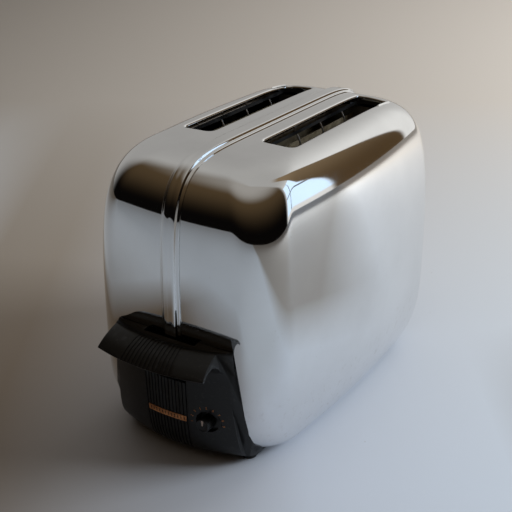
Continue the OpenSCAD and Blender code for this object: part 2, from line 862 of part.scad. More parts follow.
// Heater cards stand between the chassis plates, just outside each well.
card_t = 0.8;
card_off = slot_w / 2 + 6;
guard_bend_h = 8;
card_z0 = rack_up_z - rack_travel - 8;
card_z1 = liner_bottom - guard_bend_h;
card_tab_h = 6;
card_end = 2.6;
well_y0 = front_plate_y + plate_t;
well_y1 = rear_plate_y;
function card_x(side, where) = side * (slot_x + where * card_off);

module heater_card(side, where) {
    x = card_x(side, where);
    color("tan") {
        translate([x - card_t / 2, well_y0 + card_end, card_z0])
            cube([card_t, well_y1 - well_y0 - 2 * card_end, card_z1 - card_z0]);
        for (z = [card_z0, card_z1 - card_tab_h])
            translate([x - card_t / 2, well_y0, z])
                cube([card_t, well_y1 - well_y0, card_tab_h]);
    }
}

// The ribbon runs level on the bread's side of the card and climbs one pitch on the back.
ribbon_t = 0.3;
ribbon_end = 1.4;
module heater_ribbon(side, where) {
    x = card_x(side, where);
    front = side * where > 0 ? -1 : 1;
    y0 = well_y0 + card_end;
    y1 = well_y1 - card_end;
    z0 = card_z0 + card_tab_h + 3;
    pitch = (card_z1 - card_z0 - 2 * card_tab_h - 8) / ribbon_turns;
    fx = front > 0 ? x + card_t / 2 : x - card_t / 2 - ribbon_t;
    bx = front > 0 ? x - card_t / 2 - ribbon_t : x + card_t / 2;
    wrap_x = x - card_t / 2 - ribbon_t;
    wrap_w = card_t + 2 * ribbon_t;
    color("firebrick")
        for (i = [0 : ribbon_turns - 1]) {
            translate([fx, y0 - ribbon_t, z0 + i * pitch])
                cube([ribbon_t, y1 - y0 + 2 * ribbon_t, ribbon_w]);
            for (y = [y0 - ribbon_t, y1])
                translate([wrap_x, y, z0 + i * pitch])
                    cube([wrap_w, ribbon_t, ribbon_w]);
            if (i < ribbon_turns - 1)
                translate([bx, 0, 0])
                    rotate([90, 0, 90])
                        linear_extrude(ribbon_t)
                            polygon([[y0 - ribbon_t, z0 + i * pitch], [y0 - ribbon_t, z0 + i * pitch + ribbon_w],
                                     [y1 + ribbon_t, z0 + (i + 1) * pitch + ribbon_w], [y1 + ribbon_t, z0 + (i + 1) * pitch]]);
        }
}

module heater_card_left_outer() {
    heater_card(-1, 1);
}

module heater_card_left_inner() {
    heater_card(-1, -1);
}

module heater_card_right_inner() {
    heater_card(1, -1);
}

module heater_card_right_outer() {
    heater_card(1, 1);
}

module heater_ribbon_left_outer() {
    heater_ribbon(-1, 1);
}

module heater_ribbon_left_inner() {
    heater_ribbon(-1, -1);
}

module heater_ribbon_right_inner() {
    heater_ribbon(1, -1);
}

module heater_ribbon_right_outer() {
    heater_ribbon(1, 1);
}

// Guard wires: upright wires tied to a level wire at the top and bottom, bent out at the top.
guard_off = slot_w / 2 - 1.4;
guard_z0 = card_z0 - 2;
guard_z1 = liner_bottom - guard_bend_h;
guard_bend = 3.2;
wire_first = 16.4;
module guard_side(x, out) {
    for (z = [guard_z0, guard_z1])
        translate([x, well_y0, z])
            rotate([-90, 0, 0])
                cylinder(r = wire_r, h = well_y1 - well_y0, $fn = 16);
    wire_count = floor(slot_l / wire_pitch);
    for (i = [0 : wire_count - 1]) {
        y = slot_front_y + wire_first + i * wire_pitch;
        translate([x, y, guard_z0])
            cylinder(r = wire_r, h = guard_z1 - guard_z0, $fn = 16);
        translate([x, y, guard_z1])
            rotate([0, out * atan(guard_bend / guard_bend_h), 0])
                cylinder(r = wire_r, h = guard_bend_h, $fn = 16);
    }
}

module guard_wires(side) {
    color("gray")
        for (where = [-1, 1])
            guard_side(side * slot_x + where * guard_off, where);
}

module guard_wires_left() {
    guard_wires(-1);
}

module guard_wires_right() {
    guard_wires(1);
}

// Bread racks: an arm through both chassis plates with a row of ledges on top.
rack_h = 8;
ledge_t = 1.2;
ledge_count = 7;
arm_front_y = front_plate_y - 4.5;
module bread_rack(side) {
    color("gray") {
        translate([side * slot_x - arm_t / 2, arm_front_y, rack_up_z - ledge_t - rack_h])
            cube([arm_t, rear_plate_y + plate_t + 2 - arm_front_y, rack_h]);
        for (i = [0 : ledge_count - 1])
            translate([side * slot_x - ledge_w / 2, slot_front_y + slot_l * (i + 0.5) / ledge_count - 7, rack_up_z - ledge_t - eps])
                cube([ledge_w, 14, ledge_t]);
    }
}

module bread_rack_left() {
    bread_rack(-1);
}

module bread_rack_right() {
    bread_rack(1);
}

// Crosshead: joins the racks in front of the chassis and slides on the guide rod.
head_t = 2.5;
head_z0 = rack_up_z - ledge_t - rack_h;
bush_r = rod_r + 3;
bush_h = 16;
bush_drop = 4;
module carriage_crosshead() {
    color("darkgray")
        difference() {
            union() {
                translate([-slot_x - 4, arm_front_y - head_t, head_z0])
                    cube([2 * slot_x + 8, head_t, rack_h]);
                translate([0, rod_y, head_z0 - bush_drop])
                    cylinder(r = bush_r, h = bush_h);
            }
            translate([0, rod_y, 0])
                cylinder(r = rod_r + rod_gap, h = through);
        }
}

module guide_rod() {
    color("silver")
        translate([0, rod_y, pan_top])
            cylinder(r = rod_r, h = rod_top_z + 3 - pan_top);
}

// Lift spring round the rod, from the pan to the crosshead, as one swept wire.
spring_wire_r = 0.6;
spring_r = rod_r + 1.9;
spring_turns = 11;
spring_sides = 6;
spring_steps = 12;
module lift_spring() {
    lo = pan_top + spring_wire_r;
    hi = head_z0 - bush_drop - spring_wire_r;
    n = spring_turns * spring_steps;
    ring = [for (i = [0 : n]) for (k = [0 : spring_sides - 1])
        let (a = 360 * i / spring_steps, b = 360 * k / spring_sides, r = spring_r + spring_wire_r * cos(b))
        [r * cos(a), rod_y + r * sin(a), lo + (hi - lo) * i / n + spring_wire_r * sin(b)]];
    sides = [for (i = [0 : n - 1]) for (k = [0 : spring_sides - 1])
        let (k2 = (k + 1) % spring_sides, a = i * spring_sides, b = (i + 1) * spring_sides)
        for (f = [[a + k, a + k2, b + k2], [a + k, b + k2, b + k]]) f];
    color("lightsteelblue")
        polyhedron(ring, concat(sides,
            [[for (k = [spring_sides - 1 : -1 : 0]) k]],
            [[for (k = [0 : spring_sides - 1]) n * spring_sides + k]]));
}

// Lift drive: a rack on the crosshead and a pinion on the gear case.
pinion_r = 12;
pinion_teeth = 16;
tooth_pitch = 2 * PI * pinion_r / pinion_teeth;
tooth_h = 3;
rack_x = 12;
rack_t = 4;
rack_front_y = arm_front_y - head_t - 4;
pitch_x = rack_x + rack_t + tooth_h / 2;
pinion_x = pitch_x + pinion_r;
pinion_z = rack_up_z + 2;
lift_rack_top = head_z0 + rack_travel + 14;
module lift_rack() {
    n = floor((lift_rack_top - head_z0) / tooth_pitch);
    color("beige") {
        translate([rack_x, rack_front_y, head_z0])
            cube([rack_t, 4, lift_rack_top - head_z0]);
        for (i = [0 : n - 1])
            let (z = pinion_z + tooth_pitch * (i - floor((pinion_z - head_z0) / tooth_pitch) + 0.5))
            if (z - 1 > head_z0 && z + 1.2 < lift_rack_top)
                translate([rack_x + rack_t - eps, rack_front_y, z])
                    rotate([-90, 0, 0])
                        linear_extrude(4)
                            polygon([[0, -1.35], [tooth_h - 0.5, -0.6], [tooth_h - 0.5, 0.6], [0, 1.35]]);
    }
}

module lift_pinion() {
    color("beige")
        translate([pinion_x, rack_front_y, pinion_z])
            rotate([-90, 0, 0])
                union() {
                    cylinder(r = pinion_r - tooth_h / 2 + 0.1, h = 4);
                    for (i = [0 : pinion_teeth - 1])
                        rotate([0, 0, 180 + 360 * i / pinion_teeth])
                            linear_extrude(4)
                                polygon([[pinion_r - tooth_h / 2 - 0.2, -1.3], [pinion_r + tooth_h / 2 - 0.6, -0.5],
                                         [pinion_r + tooth_h / 2 - 0.6, 0.5], [pinion_r - tooth_h / 2 - 0.2, 1.3]]);
                    translate([0, 0, -8])
                        cylinder(r = shaft_r, h = 8 + eps);
                }
}

case_gap = 2;
case_l = 18;
case_w = 34;
case_h = 40;
case_y0 = rack_front_y - case_gap - case_l;
case_x0 = pinion_x - case_w / 2;
case_z0 = pinion_z - case_h / 2;
post_x = slot_x + slot_w / 2 + 3.15;
post_r = 3;
arm_l = 8;
shaft_r = 2.5;
shaft_gap = 0.05;
module gear_case() {
    color("dimgray")
        difference() {
            union() {
                translate([case_x0, case_y0, case_z0])
                    cube([case_w, case_l, case_h]);
                for (z = [case_z0 + 5, case_z0 + case_h - 5]) {
                    translate([post_x, case_y0 + arm_l, z])
                        rotate([-90, 0, 0])
                            cylinder(r = post_r, h = front_plate_y - case_y0 - arm_l);
                    translate([case_x0 + case_w - 4, case_y0 + arm_l / 2, z - post_r])
                        cube([post_x - case_x0 - case_w + 4, arm_l, 2 * post_r]);
                }
            }
            translate([pinion_x, 0, pinion_z])
                rotate([90, 0, 0])
                    cylinder(r = shaft_r + shaft_gap, h = body_l);
        }
}

motor_r = 14;
motor_l = 16;
module lift_motor() {
    color("steelblue")
        translate([pinion_x, case_y0 - motor_l, pinion_z])
            rotate([-90, 0, 0])
                cylinder(r = motor_r, h = motor_l);
}

// Hold-down magnet: the lowered crosshead rests just over its core.
core_r = 4;
coil_r = 9;
coil_foot = 3;
coil_head = 5;
magnet_x = -20;
magnet_y = arm_front_y - head_t / 2 - 5;
magnet_z = pan_top + plate_t;
magnet_top = head_z0 - rack_travel - gap;
module magnet_core() {
    color("gray")
        translate([magnet_x, magnet_y, magnet_z])
            cylinder(r = core_r, h = magnet_top - magnet_z);
}

module magnet_coil() {
    color("sienna")
        difference() {
            translate([magnet_x, magnet_y, magnet_z + coil_foot])
                cylinder(r = coil_r, h = magnet_top - magnet_z - coil_foot - coil_head);
            translate([magnet_x, magnet_y, 0])
                cylinder(r = core_r, h = through);
        }
}

contact_x = -46;
contact_y = front_plate_y - flange_l - 13;
contact_w = 14;
contact_d = 12;
module contact_block() {
    color("saddlebrown")
        translate([contact_x, contact_y, pan_top])
            cube([contact_w, contact_d, contact_w]);
}

leaf_w = 3;
leaf_l = 8;
leaf_t = 0.8;
module contact_leaves() {
    color("gold")
        for (x = [contact_x + 2, contact_x + contact_w - 2 - leaf_w])
            translate([x, contact_y + 2, pan_top + contact_w])
                cube([leaf_w, leaf_l, leaf_t]);
}

terminal_w = 30;
terminal_d = 12;
terminal_h = 14;
terminal_z = 30;
module terminal_block() {
    color("ivory")
        difference() {
            translate([-terminal_w / 2, rear_plate_y + plate_t, terminal_z])
                cube([terminal_w, terminal_d, terminal_h]);
            for (x = [-terminal_w / 4, terminal_w / 4])
                translate([x, rear_plate_y + plate_t + terminal_d / 2, terminal_z + 6])
                    cylinder(r = 2.5, h = terminal_h, $fn = 24);
        }
}

// Bushing in the rear panel where the cord would come in, with its lip in a seat.
inlet_z = 18;
inlet_r = 5;
inlet_bore_r = 3;
inlet_lip = 1.4;
inlet_lip_t = 1.2;
inlet_l = 26;
inlet_outer_y = body_l / 2 + face_out(inlet_z) + 0.6;
module at_inlet(y) {
    translate([0, y, inlet_z])
        rotate([90, 0, 0])
            children();
}

module cord_inlet_bushing() {
    color([0.1, 0.1, 0.1])
        difference() {
            union() {
                at_inlet(inlet_outer_y)
                    cylinder(r = inlet_r + inlet_lip, h = inlet_lip_t);
                at_inlet(inlet_outer_y)
                    cylinder(r = inlet_r, h = inlet_l);
            }
            at_inlet(inlet_outer_y + 5)
                cylinder(r = inlet_bore_r, h = inlet_l + 10);
        }
}

left_shell();
right_shell();
centre_band();
front_panel();
rear_panel();
nameplate();
dial_ticks();
control_knob();
knob_pointer();
knob_shaft();
bimetal_strip();
bimetal_bracket();
base_pan();
crumb_tray();
tray_catch();
tray_hinge_pin();
feet();
foot_screws();
panel_screws();
front_chassis_plate();
rear_chassis_plate();
slot_liner_left();
slot_liner_right();
heater_card_left_outer();
heater_card_left_inner();
heater_card_right_inner();
heater_card_right_outer();
heater_ribbon_left_outer();
heater_ribbon_left_inner();
heater_ribbon_right_inner();
heater_ribbon_right_outer();
guard_wires_left();
guard_wires_right();
bread_rack_left();
bread_rack_right();
carriage_crosshead();
guide_rod();
lift_spring();
lift_rack();
lift_pinion();
gear_case();
lift_motor();
magnet_core();
magnet_coil();
contact_block();
contact_leaves();
terminal_block();
cord_inlet_bushing();
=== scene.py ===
# %% [markdown]
# # An old chrome toaster, dressed piece by piece
#
# The engineering model of this two-slot automatic toaster is already packed: every sheet, lever and
# screw has its true size there. This lesson gives the pieces that show their real surfaces, and
# finishes the rest. It can be read from top to bottom, one cell after another.

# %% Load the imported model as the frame
import json
import math
import bmesh
import bpy
import numpy as np
from mathutils import Matrix, Vector, kdtree

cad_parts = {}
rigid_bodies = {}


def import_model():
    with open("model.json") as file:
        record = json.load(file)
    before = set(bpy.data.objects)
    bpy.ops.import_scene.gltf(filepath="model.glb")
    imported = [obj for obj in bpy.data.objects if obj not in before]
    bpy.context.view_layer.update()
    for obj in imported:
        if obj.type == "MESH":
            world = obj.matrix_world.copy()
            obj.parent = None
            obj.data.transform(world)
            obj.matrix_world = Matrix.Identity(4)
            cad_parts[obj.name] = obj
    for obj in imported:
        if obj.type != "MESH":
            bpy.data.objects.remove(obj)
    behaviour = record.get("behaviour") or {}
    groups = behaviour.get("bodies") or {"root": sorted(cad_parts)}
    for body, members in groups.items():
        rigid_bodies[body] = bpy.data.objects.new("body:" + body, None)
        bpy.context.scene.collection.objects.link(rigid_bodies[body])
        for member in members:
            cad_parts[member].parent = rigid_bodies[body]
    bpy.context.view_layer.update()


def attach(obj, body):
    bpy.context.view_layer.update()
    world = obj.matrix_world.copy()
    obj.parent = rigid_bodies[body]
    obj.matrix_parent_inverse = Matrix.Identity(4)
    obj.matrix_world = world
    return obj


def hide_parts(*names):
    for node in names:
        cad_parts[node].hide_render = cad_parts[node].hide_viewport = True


for leftover in list(bpy.data.objects):
    bpy.data.objects.remove(leftover)
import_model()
MM = 0.001
scene = bpy.context.scene

# %% [markdown]
# ## Camera
# A camera is easiest to place by its position and the direction in which it looks back. Here it
# stands in front of the control end, a little to the right, and looks down at about 24 degrees.
# A long lens keeps the body's sides nearly parallel, as a product photographer would have it.

# %% Camera at the viewing angle
AZIMUTH, ELEVATION, ROLL = math.radians(32.648), math.radians(24.270), math.radians(-0.142)
CAMERA_AT = Vector((0.3506, -0.5728, 0.3961))
LENS = 1018.13 * 36 / 512

back = Vector((math.sin(AZIMUTH) * math.cos(ELEVATION),
               -math.cos(AZIMUTH) * math.cos(ELEVATION), math.sin(ELEVATION)))
right = Vector((math.cos(AZIMUTH), math.sin(AZIMUTH), 0))
up = back.cross(right)
right, up = (right * math.cos(ROLL) + up * math.sin(ROLL),
             up * math.cos(ROLL) - right * math.sin(ROLL))

camera = bpy.data.objects.new("camera", bpy.data.cameras.new("camera"))
scene.collection.objects.link(camera)
camera.data.lens = LENS
camera.data.clip_end = 50
turn = Matrix((right, up, back)).transposed().to_4x4()
camera.matrix_world = Matrix.Translation(CAMERA_AT) @ turn
scene.camera = camera
scene.view_settings.view_transform = "Standard"
print("camera at", [round(v, 3) for v in CAMERA_AT], "lens", round(LENS, 2), "mm")

# %% [markdown]
# ## Small helpers for modelling by hand
# Each operator works on what is selected, so every step starts with nothing selected. These
# helpers open one piece for editing, select faces, edges or corners by their place, and put a
# modifier on and apply it.

# %% Helpers: opening, selecting, finishing
def leave_edit():
    if bpy.context.object and bpy.context.object.mode != "OBJECT":
        bpy.ops.object.mode_set(mode="OBJECT")


def only(piece):
    leave_edit()
    bpy.ops.object.select_all(action="DESELECT")
    piece.select_set(True)
    bpy.context.view_layer.objects.active = piece


def nothing():
    leave_edit()
    bpy.ops.object.select_all(action="DESELECT")


def named(name):
    piece = bpy.context.object
    piece.name = piece.data.name = name
    return piece


def edit(piece):
    only(piece)
    bpy.ops.object.mode_set(mode="EDIT")


def pick(kind, test):
    """Selects the VERT, EDGE or FACE elements whose middle passes the test, in millimetres."""
    bpy.ops.mesh.select_mode(type=kind)
    bpy.ops.mesh.select_all(action="DESELECT")
    bm = bmesh.from_edit_mesh(bpy.context.object.data)
    found = 0
    if kind == "VERT":
        for v in bm.verts:
            if test(v.co / MM):
                v.select_set(True)
                found += 1
    elif kind == "EDGE":
        for e in bm.edges:
            if test((e.verts[0].co + e.verts[1].co) / 2 / MM):
                e.select_set(True)
                found += 1
    else:
        for f in bm.faces:
            if test(f.calc_center_median() / MM):
                f.select_set(True)
                found += 1
    bm.select_flush_mode()
    bmesh.update_edit_mesh(bpy.context.object.data)
    return found


def pick_border(test=lambda p: True):
    """Selects the open border edges whose middle passes the test."""
    bpy.ops.mesh.select_mode(type="EDGE")
    bpy.ops.mesh.select_all(action="DESELECT")
    bm = bmesh.from_edit_mesh(bpy.context.object.data)
    for e in bm.edges:
        if e.is_boundary and test((e.verts[0].co + e.verts[1].co) / 2 / MM):
            e.select_set(True)
    bmesh.update_edit_mesh(bpy.context.object.data)


def with_modifier(piece, kind, **settings):
    """Puts a modifier on a piece and applies it."""
    only(piece)
    modifier = piece.modifiers.new(kind.lower(), kind)
    for key, value in settings.items():
        setattr(modifier, key, value)
    bpy.ops.object.modifier_apply(modifier=modifier.name)


def place_is_in_mesh(piece):
    """Puts the object's place, turn and size into its mesh."""
    only(piece)
    bpy.ops.object.transform_apply(location=True, rotation=True, scale=True)


def recalculated(piece):
    edit(piece)
    bpy.ops.mesh.select_all(action="SELECT")
    bpy.ops.mesh.remove_doubles(threshold=0.002 * MM)
    bpy.ops.mesh.normals_make_consistent(inside=False)
    leave_edit()


def smooth(piece, degrees=35):
    only(piece)
    bpy.ops.object.shade_smooth_by_angle(angle=math.radians(degrees))


def joined(pieces, name):
    nothing()
    for p in pieces:
        p.select_set(True)
    bpy.context.view_layer.objects.active = pieces[0]
    if len(pieces) > 1:
        bpy.ops.object.join()
    return named(name)


def copy_of(piece, name):
    only(piece)
    bpy.ops.object.duplicate()
    return named(name)


def triangles(piece):
    return sum(len(p.vertices) - 2 for p in piece.data.polygons)


def done(piece, body, nodes=()):
    """Says which body a finished piece rides on, and what it stands for."""
    nothing()
    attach(piece, body)
    if nodes:
        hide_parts(*nodes)
    low = [round(min(v.co[i] for v in piece.data.vertices) / MM, 1) for i in range(3)]
    high = [round(max(v.co[i] for v in piece.data.vertices) / MM, 1) for i in range(3)]
    print(piece.name, triangles(piece), "triangles, from", low, "to", high, "mm")


print("helpers ready")

# %% [markdown]
# ## The form of the body
# The body is a pressed sheet. Seen from above, each level of it is a rounded rectangle whose sides
# bow out a little. Its half-width and half-length shrink towards the roof and towards the bottom
# rim, each by its own power curve. Written as one formula, the form serves the shells, the band
# over the seam and the roof round the slots, so all of them fit each other.

# %% The body's formula
HALF_W, HALF_L = 78.0, 124.0
WIDEST_Z, ROOF_Z, RIM_Z = 76.0, 197.0, 8.0
SIDE_BOW, END_BOW = 7.8, 6.5


def half_sizes(z):
    """Half-width and half-length of the body at a height."""
    z = np.asarray(z, float)
    s = np.clip((z - WIDEST_Z) / (ROOF_Z - WIDEST_Z), 0, 1)
    t = np.clip((WIDEST_Z - z) / 90.5, 0, 1)
    wide = HALF_W * np.where(z >= WIDEST_Z, (1 - s ** 2.65) ** (1 / 7.8), (1 - t ** 3.28) ** (1 / 4.06))
    long = HALF_L * np.where(z >= WIDEST_Z, (1 - s ** 5.3) ** (1 / 7.7), (1 - t ** 6.25) ** (1 / 1.63))
    return wide, long


def corner_radius(a, b, z=ROOF_Z):
    gain = 0.21 if z >= WIDEST_Z else 0.40
    return np.minimum(23 + gain * (HALF_W - a), 0.96 * np.minimum(a, b))


def height_over(x, y):
    """Height of the roof over a point, found by halving: is the point inside the level or not?"""
    x, y = np.abs(np.asarray(x, float)), np.abs(np.asarray(y, float))
    low, high = np.full(x.shape, WIDEST_Z), np.full(x.shape, ROOF_Z - 1e-9)
    for _ in range(46):
        z = (low + high) / 2
        a, b = half_sizes(z)
        a, b = np.maximum(a, 1e-6), np.maximum(b, 1e-6)
        p, q = x.copy(), y.copy()
        for _ in range(5):
            p = x + SIDE_BOW * (q / HALF_L) ** 2 * np.minimum(p / a, 1.5)
            q = y + END_BOW * (p / HALF_W) ** 2 * np.minimum(q / b, 1.5)
        r = corner_radius(a, b)
        u, v = p - (a - r), q - (b - r)
        outside = np.hypot(np.maximum(u, 0), np.maximum(v, 0)) + np.minimum(np.maximum(u, v), 0) > r
        low, high = np.where(outside, low, z), np.where(outside, z, high)
    return (low + high) / 2


print("half sizes at the rim", [round(float(v), 1) for v in half_sizes(RIM_Z)])

# %% [markdown]
# ## Shells
# The chrome body is two half shells that meet under a band. It could be boxed out of a subdivided
# cube, but a subdivided cube only comes near the true curve. Instead the roof starts as a grid
# whose border is a rounded rectangle. The grid's corners are lifted onto the formula, and its
# border is then drawn down ring by ring, as a press draws the sheet, to the rim and its flange.
# Each slot is a rectangle of faces taken out of the grid. Its border is drawn in to the slot's
# rounded outline and rolled over into a lip, which is what catches the light along a slot.

# %% Walking round a rounded rectangle
ROOF_EDGE_Z = 186.0
NX, NY, NC = 64, 100, 9


def round_border(i, j, nx, ny, nc, a, b, r):
    """Place on a rounded rectangle for the border corner (i, j) of an nx by ny grid."""
    def along(k, n, half):
        if k <= nc:
            return -(half - r) - r * math.sin(math.radians(45 * (nc - k) / nc)), nc - k
        if k >= n - nc:
            return half - r + r * math.sin(math.radians(45 * (k - n + nc) / nc)), k - n + nc
        return (half - r) * (2 * (k - nc) / (n - 2 * nc) - 1), 0
    if i in (0, nx):
        y, turn_by = along(j, ny, b)
        x = a - r + r * math.cos(math.radians(45 * turn_by / nc))
        return (x if i else -x), y
    x, turn_by = along(i, nx, a)
    y = b - r + r * math.cos(math.radians(45 * turn_by / nc))
    return x, (y if j else -y)


def level_border(i, j, z, inset=0.0):
    """Place on the body's outline at height z, in from it by inset."""
    a, b = (float(v) for v in half_sizes(z))
    r = float(corner_radius(a, b, z))
    x, y = round_border(i, j, NX, NY, NC, a - inset, b - inset, max(1.0, r - inset))
    return (x - SIDE_BOW * (y / HALF_L) ** 2 * x / a, y - END_BOW * (x / HALF_W) ** 2 * y / b)


def border_of(nx, ny):
    """The border corners of a grid, in order round it."""
    return ([(i, 0) for i in range(nx)] + [(nx, j) for j in range(ny)]
            + [(i, ny) for i in range(nx, 0, -1)] + [(0, j) for j in range(ny, 0, -1)])


print("round the border:", len(border_of(NX, NY)), "corners")


# %% Drawing a ring on
def draw_ring(ring, target):
    """Extrudes the selected ring of edges and moves each new corner from ring to target, in mm."""
    bpy.ops.mesh.extrude_edges_move()
    bm = bmesh.from_edit_mesh(bpy.context.object.data)
    tree = kdtree.KDTree(len(ring))
    for k, p in enumerate(ring):
        tree.insert(Vector(p) * MM, k)
    tree.balance()
    for v in bm.verts:
        if v.select:
            v.co = Vector(target[tree.find(v.co)[1]]) * MM
    bmesh.update_edit_mesh(bpy.context.object.data)
    return target


# %% The roof grid
nothing()
bpy.ops.mesh.primitive_grid_add(x_subdivisions=NX, y_subdivisions=NY, size=2)
body_skin = named("body_skin")


def grid_place(nx, ny, edge):
    """Places of a grid's corners, filled in between its border's places."""
    places = np.zeros((nx + 1, ny + 1, 2))
    for i in range(nx + 1):
        for j in range(ny + 1):
            s, t = i / nx, j / ny
            across = (1 - s) * np.array(edge(0, j)) + s * np.array(edge(nx, j))
            along = (1 - t) * np.array(edge(i, 0)) + t * np.array(edge(i, ny))
            corners = ((1 - s) * (1 - t) * np.array(edge(0, 0)) + s * (1 - t) * np.array(edge(nx, 0))
                       + (1 - s) * t * np.array(edge(0, ny)) + s * t * np.array(edge(nx, ny)))
            places[i, j] = across + along - corners
    return places


plan = grid_place(NX, NY, lambda i, j: level_border(i, j, ROOF_EDGE_Z))
roof = height_over(plan[..., 0], plan[..., 1])
for v in body_skin.data.vertices:
    i, j = round((v.co.x + 1) / 2 * NX), round((v.co.y + 1) / 2 * NY)
    z = ROOF_EDGE_Z if i in (0, NX) or j in (0, NY) else roof[i, j]
    v.co = Vector((plan[i, j, 0], plan[i, j, 1], z)) * MM
print("roof grid:", len(body_skin.data.polygons), "faces, top", round(float(roof.max()), 2), "mm")

# %% Take out a window round each slot
SLOT_X, SLOT_W, SLOT_Y0, SLOT_Y1, SLOT_R = 30.9, 23.7, -49.5, 87.0, 5.0
SLOT_MID, SLOT_HALF = (SLOT_Y0 + SLOT_Y1) / 2, (SLOT_Y1 - SLOT_Y0) / 2


def window_of(side):
    """First and last grid corner each way of the window round a slot."""
    inside = [(i, j) for i in range(NX + 1) for j in range(NY + 1)
              if abs(side * plan[i, j, 0] - SLOT_X) < SLOT_W / 2 + 5.5
              and abs(plan[i, j, 1] - SLOT_MID) < SLOT_HALF + 6]
    middle = [p for p in inside if p[1] == NY // 2]
    centre = [p for p in inside if p[0] == middle[len(middle) // 2][0]]
    return middle[0][0], middle[-1][0], centre[0][1], centre[-1][1]


windows = {side: window_of(side) for side in (-1, 1)}
edit(body_skin)
bpy.ops.mesh.select_mode(type="FACE")
bpy.ops.mesh.select_all(action="DESELECT")
grid = bmesh.from_edit_mesh(body_skin.data)
tree = kdtree.KDTree((NX + 1) * (NY + 1))
for i in range(NX + 1):
    for j in range(NY + 1):
        tree.insert(Vector((plan[i, j, 0], plan[i, j, 1], 0)), i * (NY + 1) + j)
tree.balance()
for f in grid.faces:
    cells = [divmod(tree.find(Vector((v.co.x, v.co.y, 0)) / MM)[1], NY + 1) for v in f.verts]
    for i0, i1, j0, j1 in windows.values():
        if all(i0 <= i <= i1 and j0 <= j <= j1 for i, j in cells):
            f.select_set(True)
bmesh.update_edit_mesh(body_skin.data)
bpy.ops.mesh.delete(type="FACE")
print("windows:", windows, "faces left:", len(grid.faces))

# %% Roll the lip of each slot
LIP_ROLL, LIP_BOTTOM, SLOT_CORNER_CELLS = 1.7, 192.0, 4


def slot_ring(side, grow):
    i0, i1, j0, j1 = windows[side]
    ni, nj = i1 - i0, j1 - j0
    return [(side * SLOT_X + x, SLOT_MID + y)
            for x, y in (round_border(i, j, ni, nj, SLOT_CORNER_CELLS, SLOT_W / 2 + grow,
                                      SLOT_HALF + grow, SLOT_R + grow) for i, j in border_of(ni, nj))]


for side in (-1, 1):
    i0, i1, j0, j1 = windows[side]
    ring = [(plan[i0 + i, j0 + j, 0], plan[i0 + i, j0 + j, 1], roof[i0 + i, j0 + j])
            for i, j in border_of(i1 - i0, j1 - j0)]
    centre_x = side * SLOT_X
    pick_border(lambda p: abs(p.x - centre_x) < SLOT_W and abs(p.y - SLOT_MID) < SLOT_HALF + 12 and p.z > 187)
    rim = slot_ring(side, LIP_ROLL + 0.15)
    levels = height_over([p[0] for p in rim], [p[1] for p in rim])
    half_way = [((p[0] + q[0]) / 2, (p[1] + q[1]) / 2) for p, q in zip(ring, rim)]
    mid_z = height_over([p[0] for p in half_way], [p[1] for p in half_way])
    ring = draw_ring(ring, [(p[0], p[1], z) for p, z in zip(half_way, mid_z)])
    ring = draw_ring(ring, [(p[0], p[1], z) for p, z in zip(rim, levels)])
    for step in range(1, 7):
        a = math.radians(90 * step / 6)
        now = slot_ring(side, LIP_ROLL * (1 - math.sin(a)))
        ring = draw_ring(ring, [(p[0], p[1], z - LIP_ROLL * (1 - math.cos(a))) for p, z in zip(now, levels)])
    inner = slot_ring(side, 0)
    for share in (0.5, 1.0):
        ring = draw_ring(ring, [(p[0], p[1], (z - LIP_ROLL) * (1 - share) + LIP_BOTTOM * share)
                                for p, z in zip(inner, levels)])
print("lips rolled down to", LIP_BOTTOM, "mm")

# %% Draw the sides down to the rim
ring = [(*plan[i, j], ROOF_EDGE_Z) for i, j in border_of(NX, NY)]
pick_border(lambda p: abs(p.z - ROOF_EDGE_Z) < 0.2)
heights = ([ROOF_EDGE_Z - 2.2 * k for k in range(1, 16)] + [150 - 6.5 * k for k in range(0, 15)]
           + [57 - 4 * k for k in range(0, 7)] + [29 - 2.3 * k for k in range(0, 9)] + [9.3])
for z in heights:
    ring = draw_ring(ring, [(*level_border(i, j, z), z) for i, j in border_of(NX, NY)])
for z, inset in ((8.4, 0.1), (8.0, 0.8), (8.0, 10.0)):
    ring = draw_ring(ring, [(*level_border(i, j, 8.8, inset), z) for i, j in border_of(NX, NY)])
leave_edit()
recalculated(body_skin)
print("skin:", len(body_skin.data.polygons), "faces")

# %% Two half shells out of one skin
# The real body is pressed as two halves that meet along the middle, so the skin is split there and
# each half gets its own thickness.
edit(body_skin)
pick("FACE", lambda p: p.x < 0)
bpy.ops.mesh.separate(type="SELECTED")
leave_edit()
left_shell = next(o for o in bpy.context.selected_objects if o is not body_skin)
left_shell.name = left_shell.data.name = "left_half_shell"
body_skin.name = body_skin.data.name = "right_half_shell"
right_shell = body_skin
for shell, node in ((left_shell, "left_shell"), (right_shell, "right_shell")):
    with_modifier(shell, "SOLIDIFY", thickness=1.0 * MM, offset=-1)
    recalculated(shell)
    smooth(shell, 40)
    done(shell, "chassis", [node])

# %% [markdown]
# ## The band over the seam
# A narrow pressed strip covers the seam between the half shells. It has a thin flange on each side
# and a raised, nearly flat crown. Its cross-section is drawn once and carried along the seam, up
# the front end, over the roof and down the back, always square to the body there.

# %% The seam's path and the band's cross-section
BAND_LOW, BAND_TOP = 84.0, 2.6
rise = [BAND_LOW, 88, 93, 99, 106, 114, 122, 130, 138, 145, 151, 157, 162, 167, 171, 174.5, 178, 181, 183.5,
        185.5, 187.2, 188.7, 190, 191.2, 192.2, 193.1, 193.8]
front = [(-float(half_sizes(z)[1]), z) for z in rise]
far = abs(front[-1][0])
over = [(y, float(height_over(0.0, y))) for y in np.linspace(-far, far, 60)[1:-1]]
seam = front + over + [(-y, z) for y, z in reversed(front)]

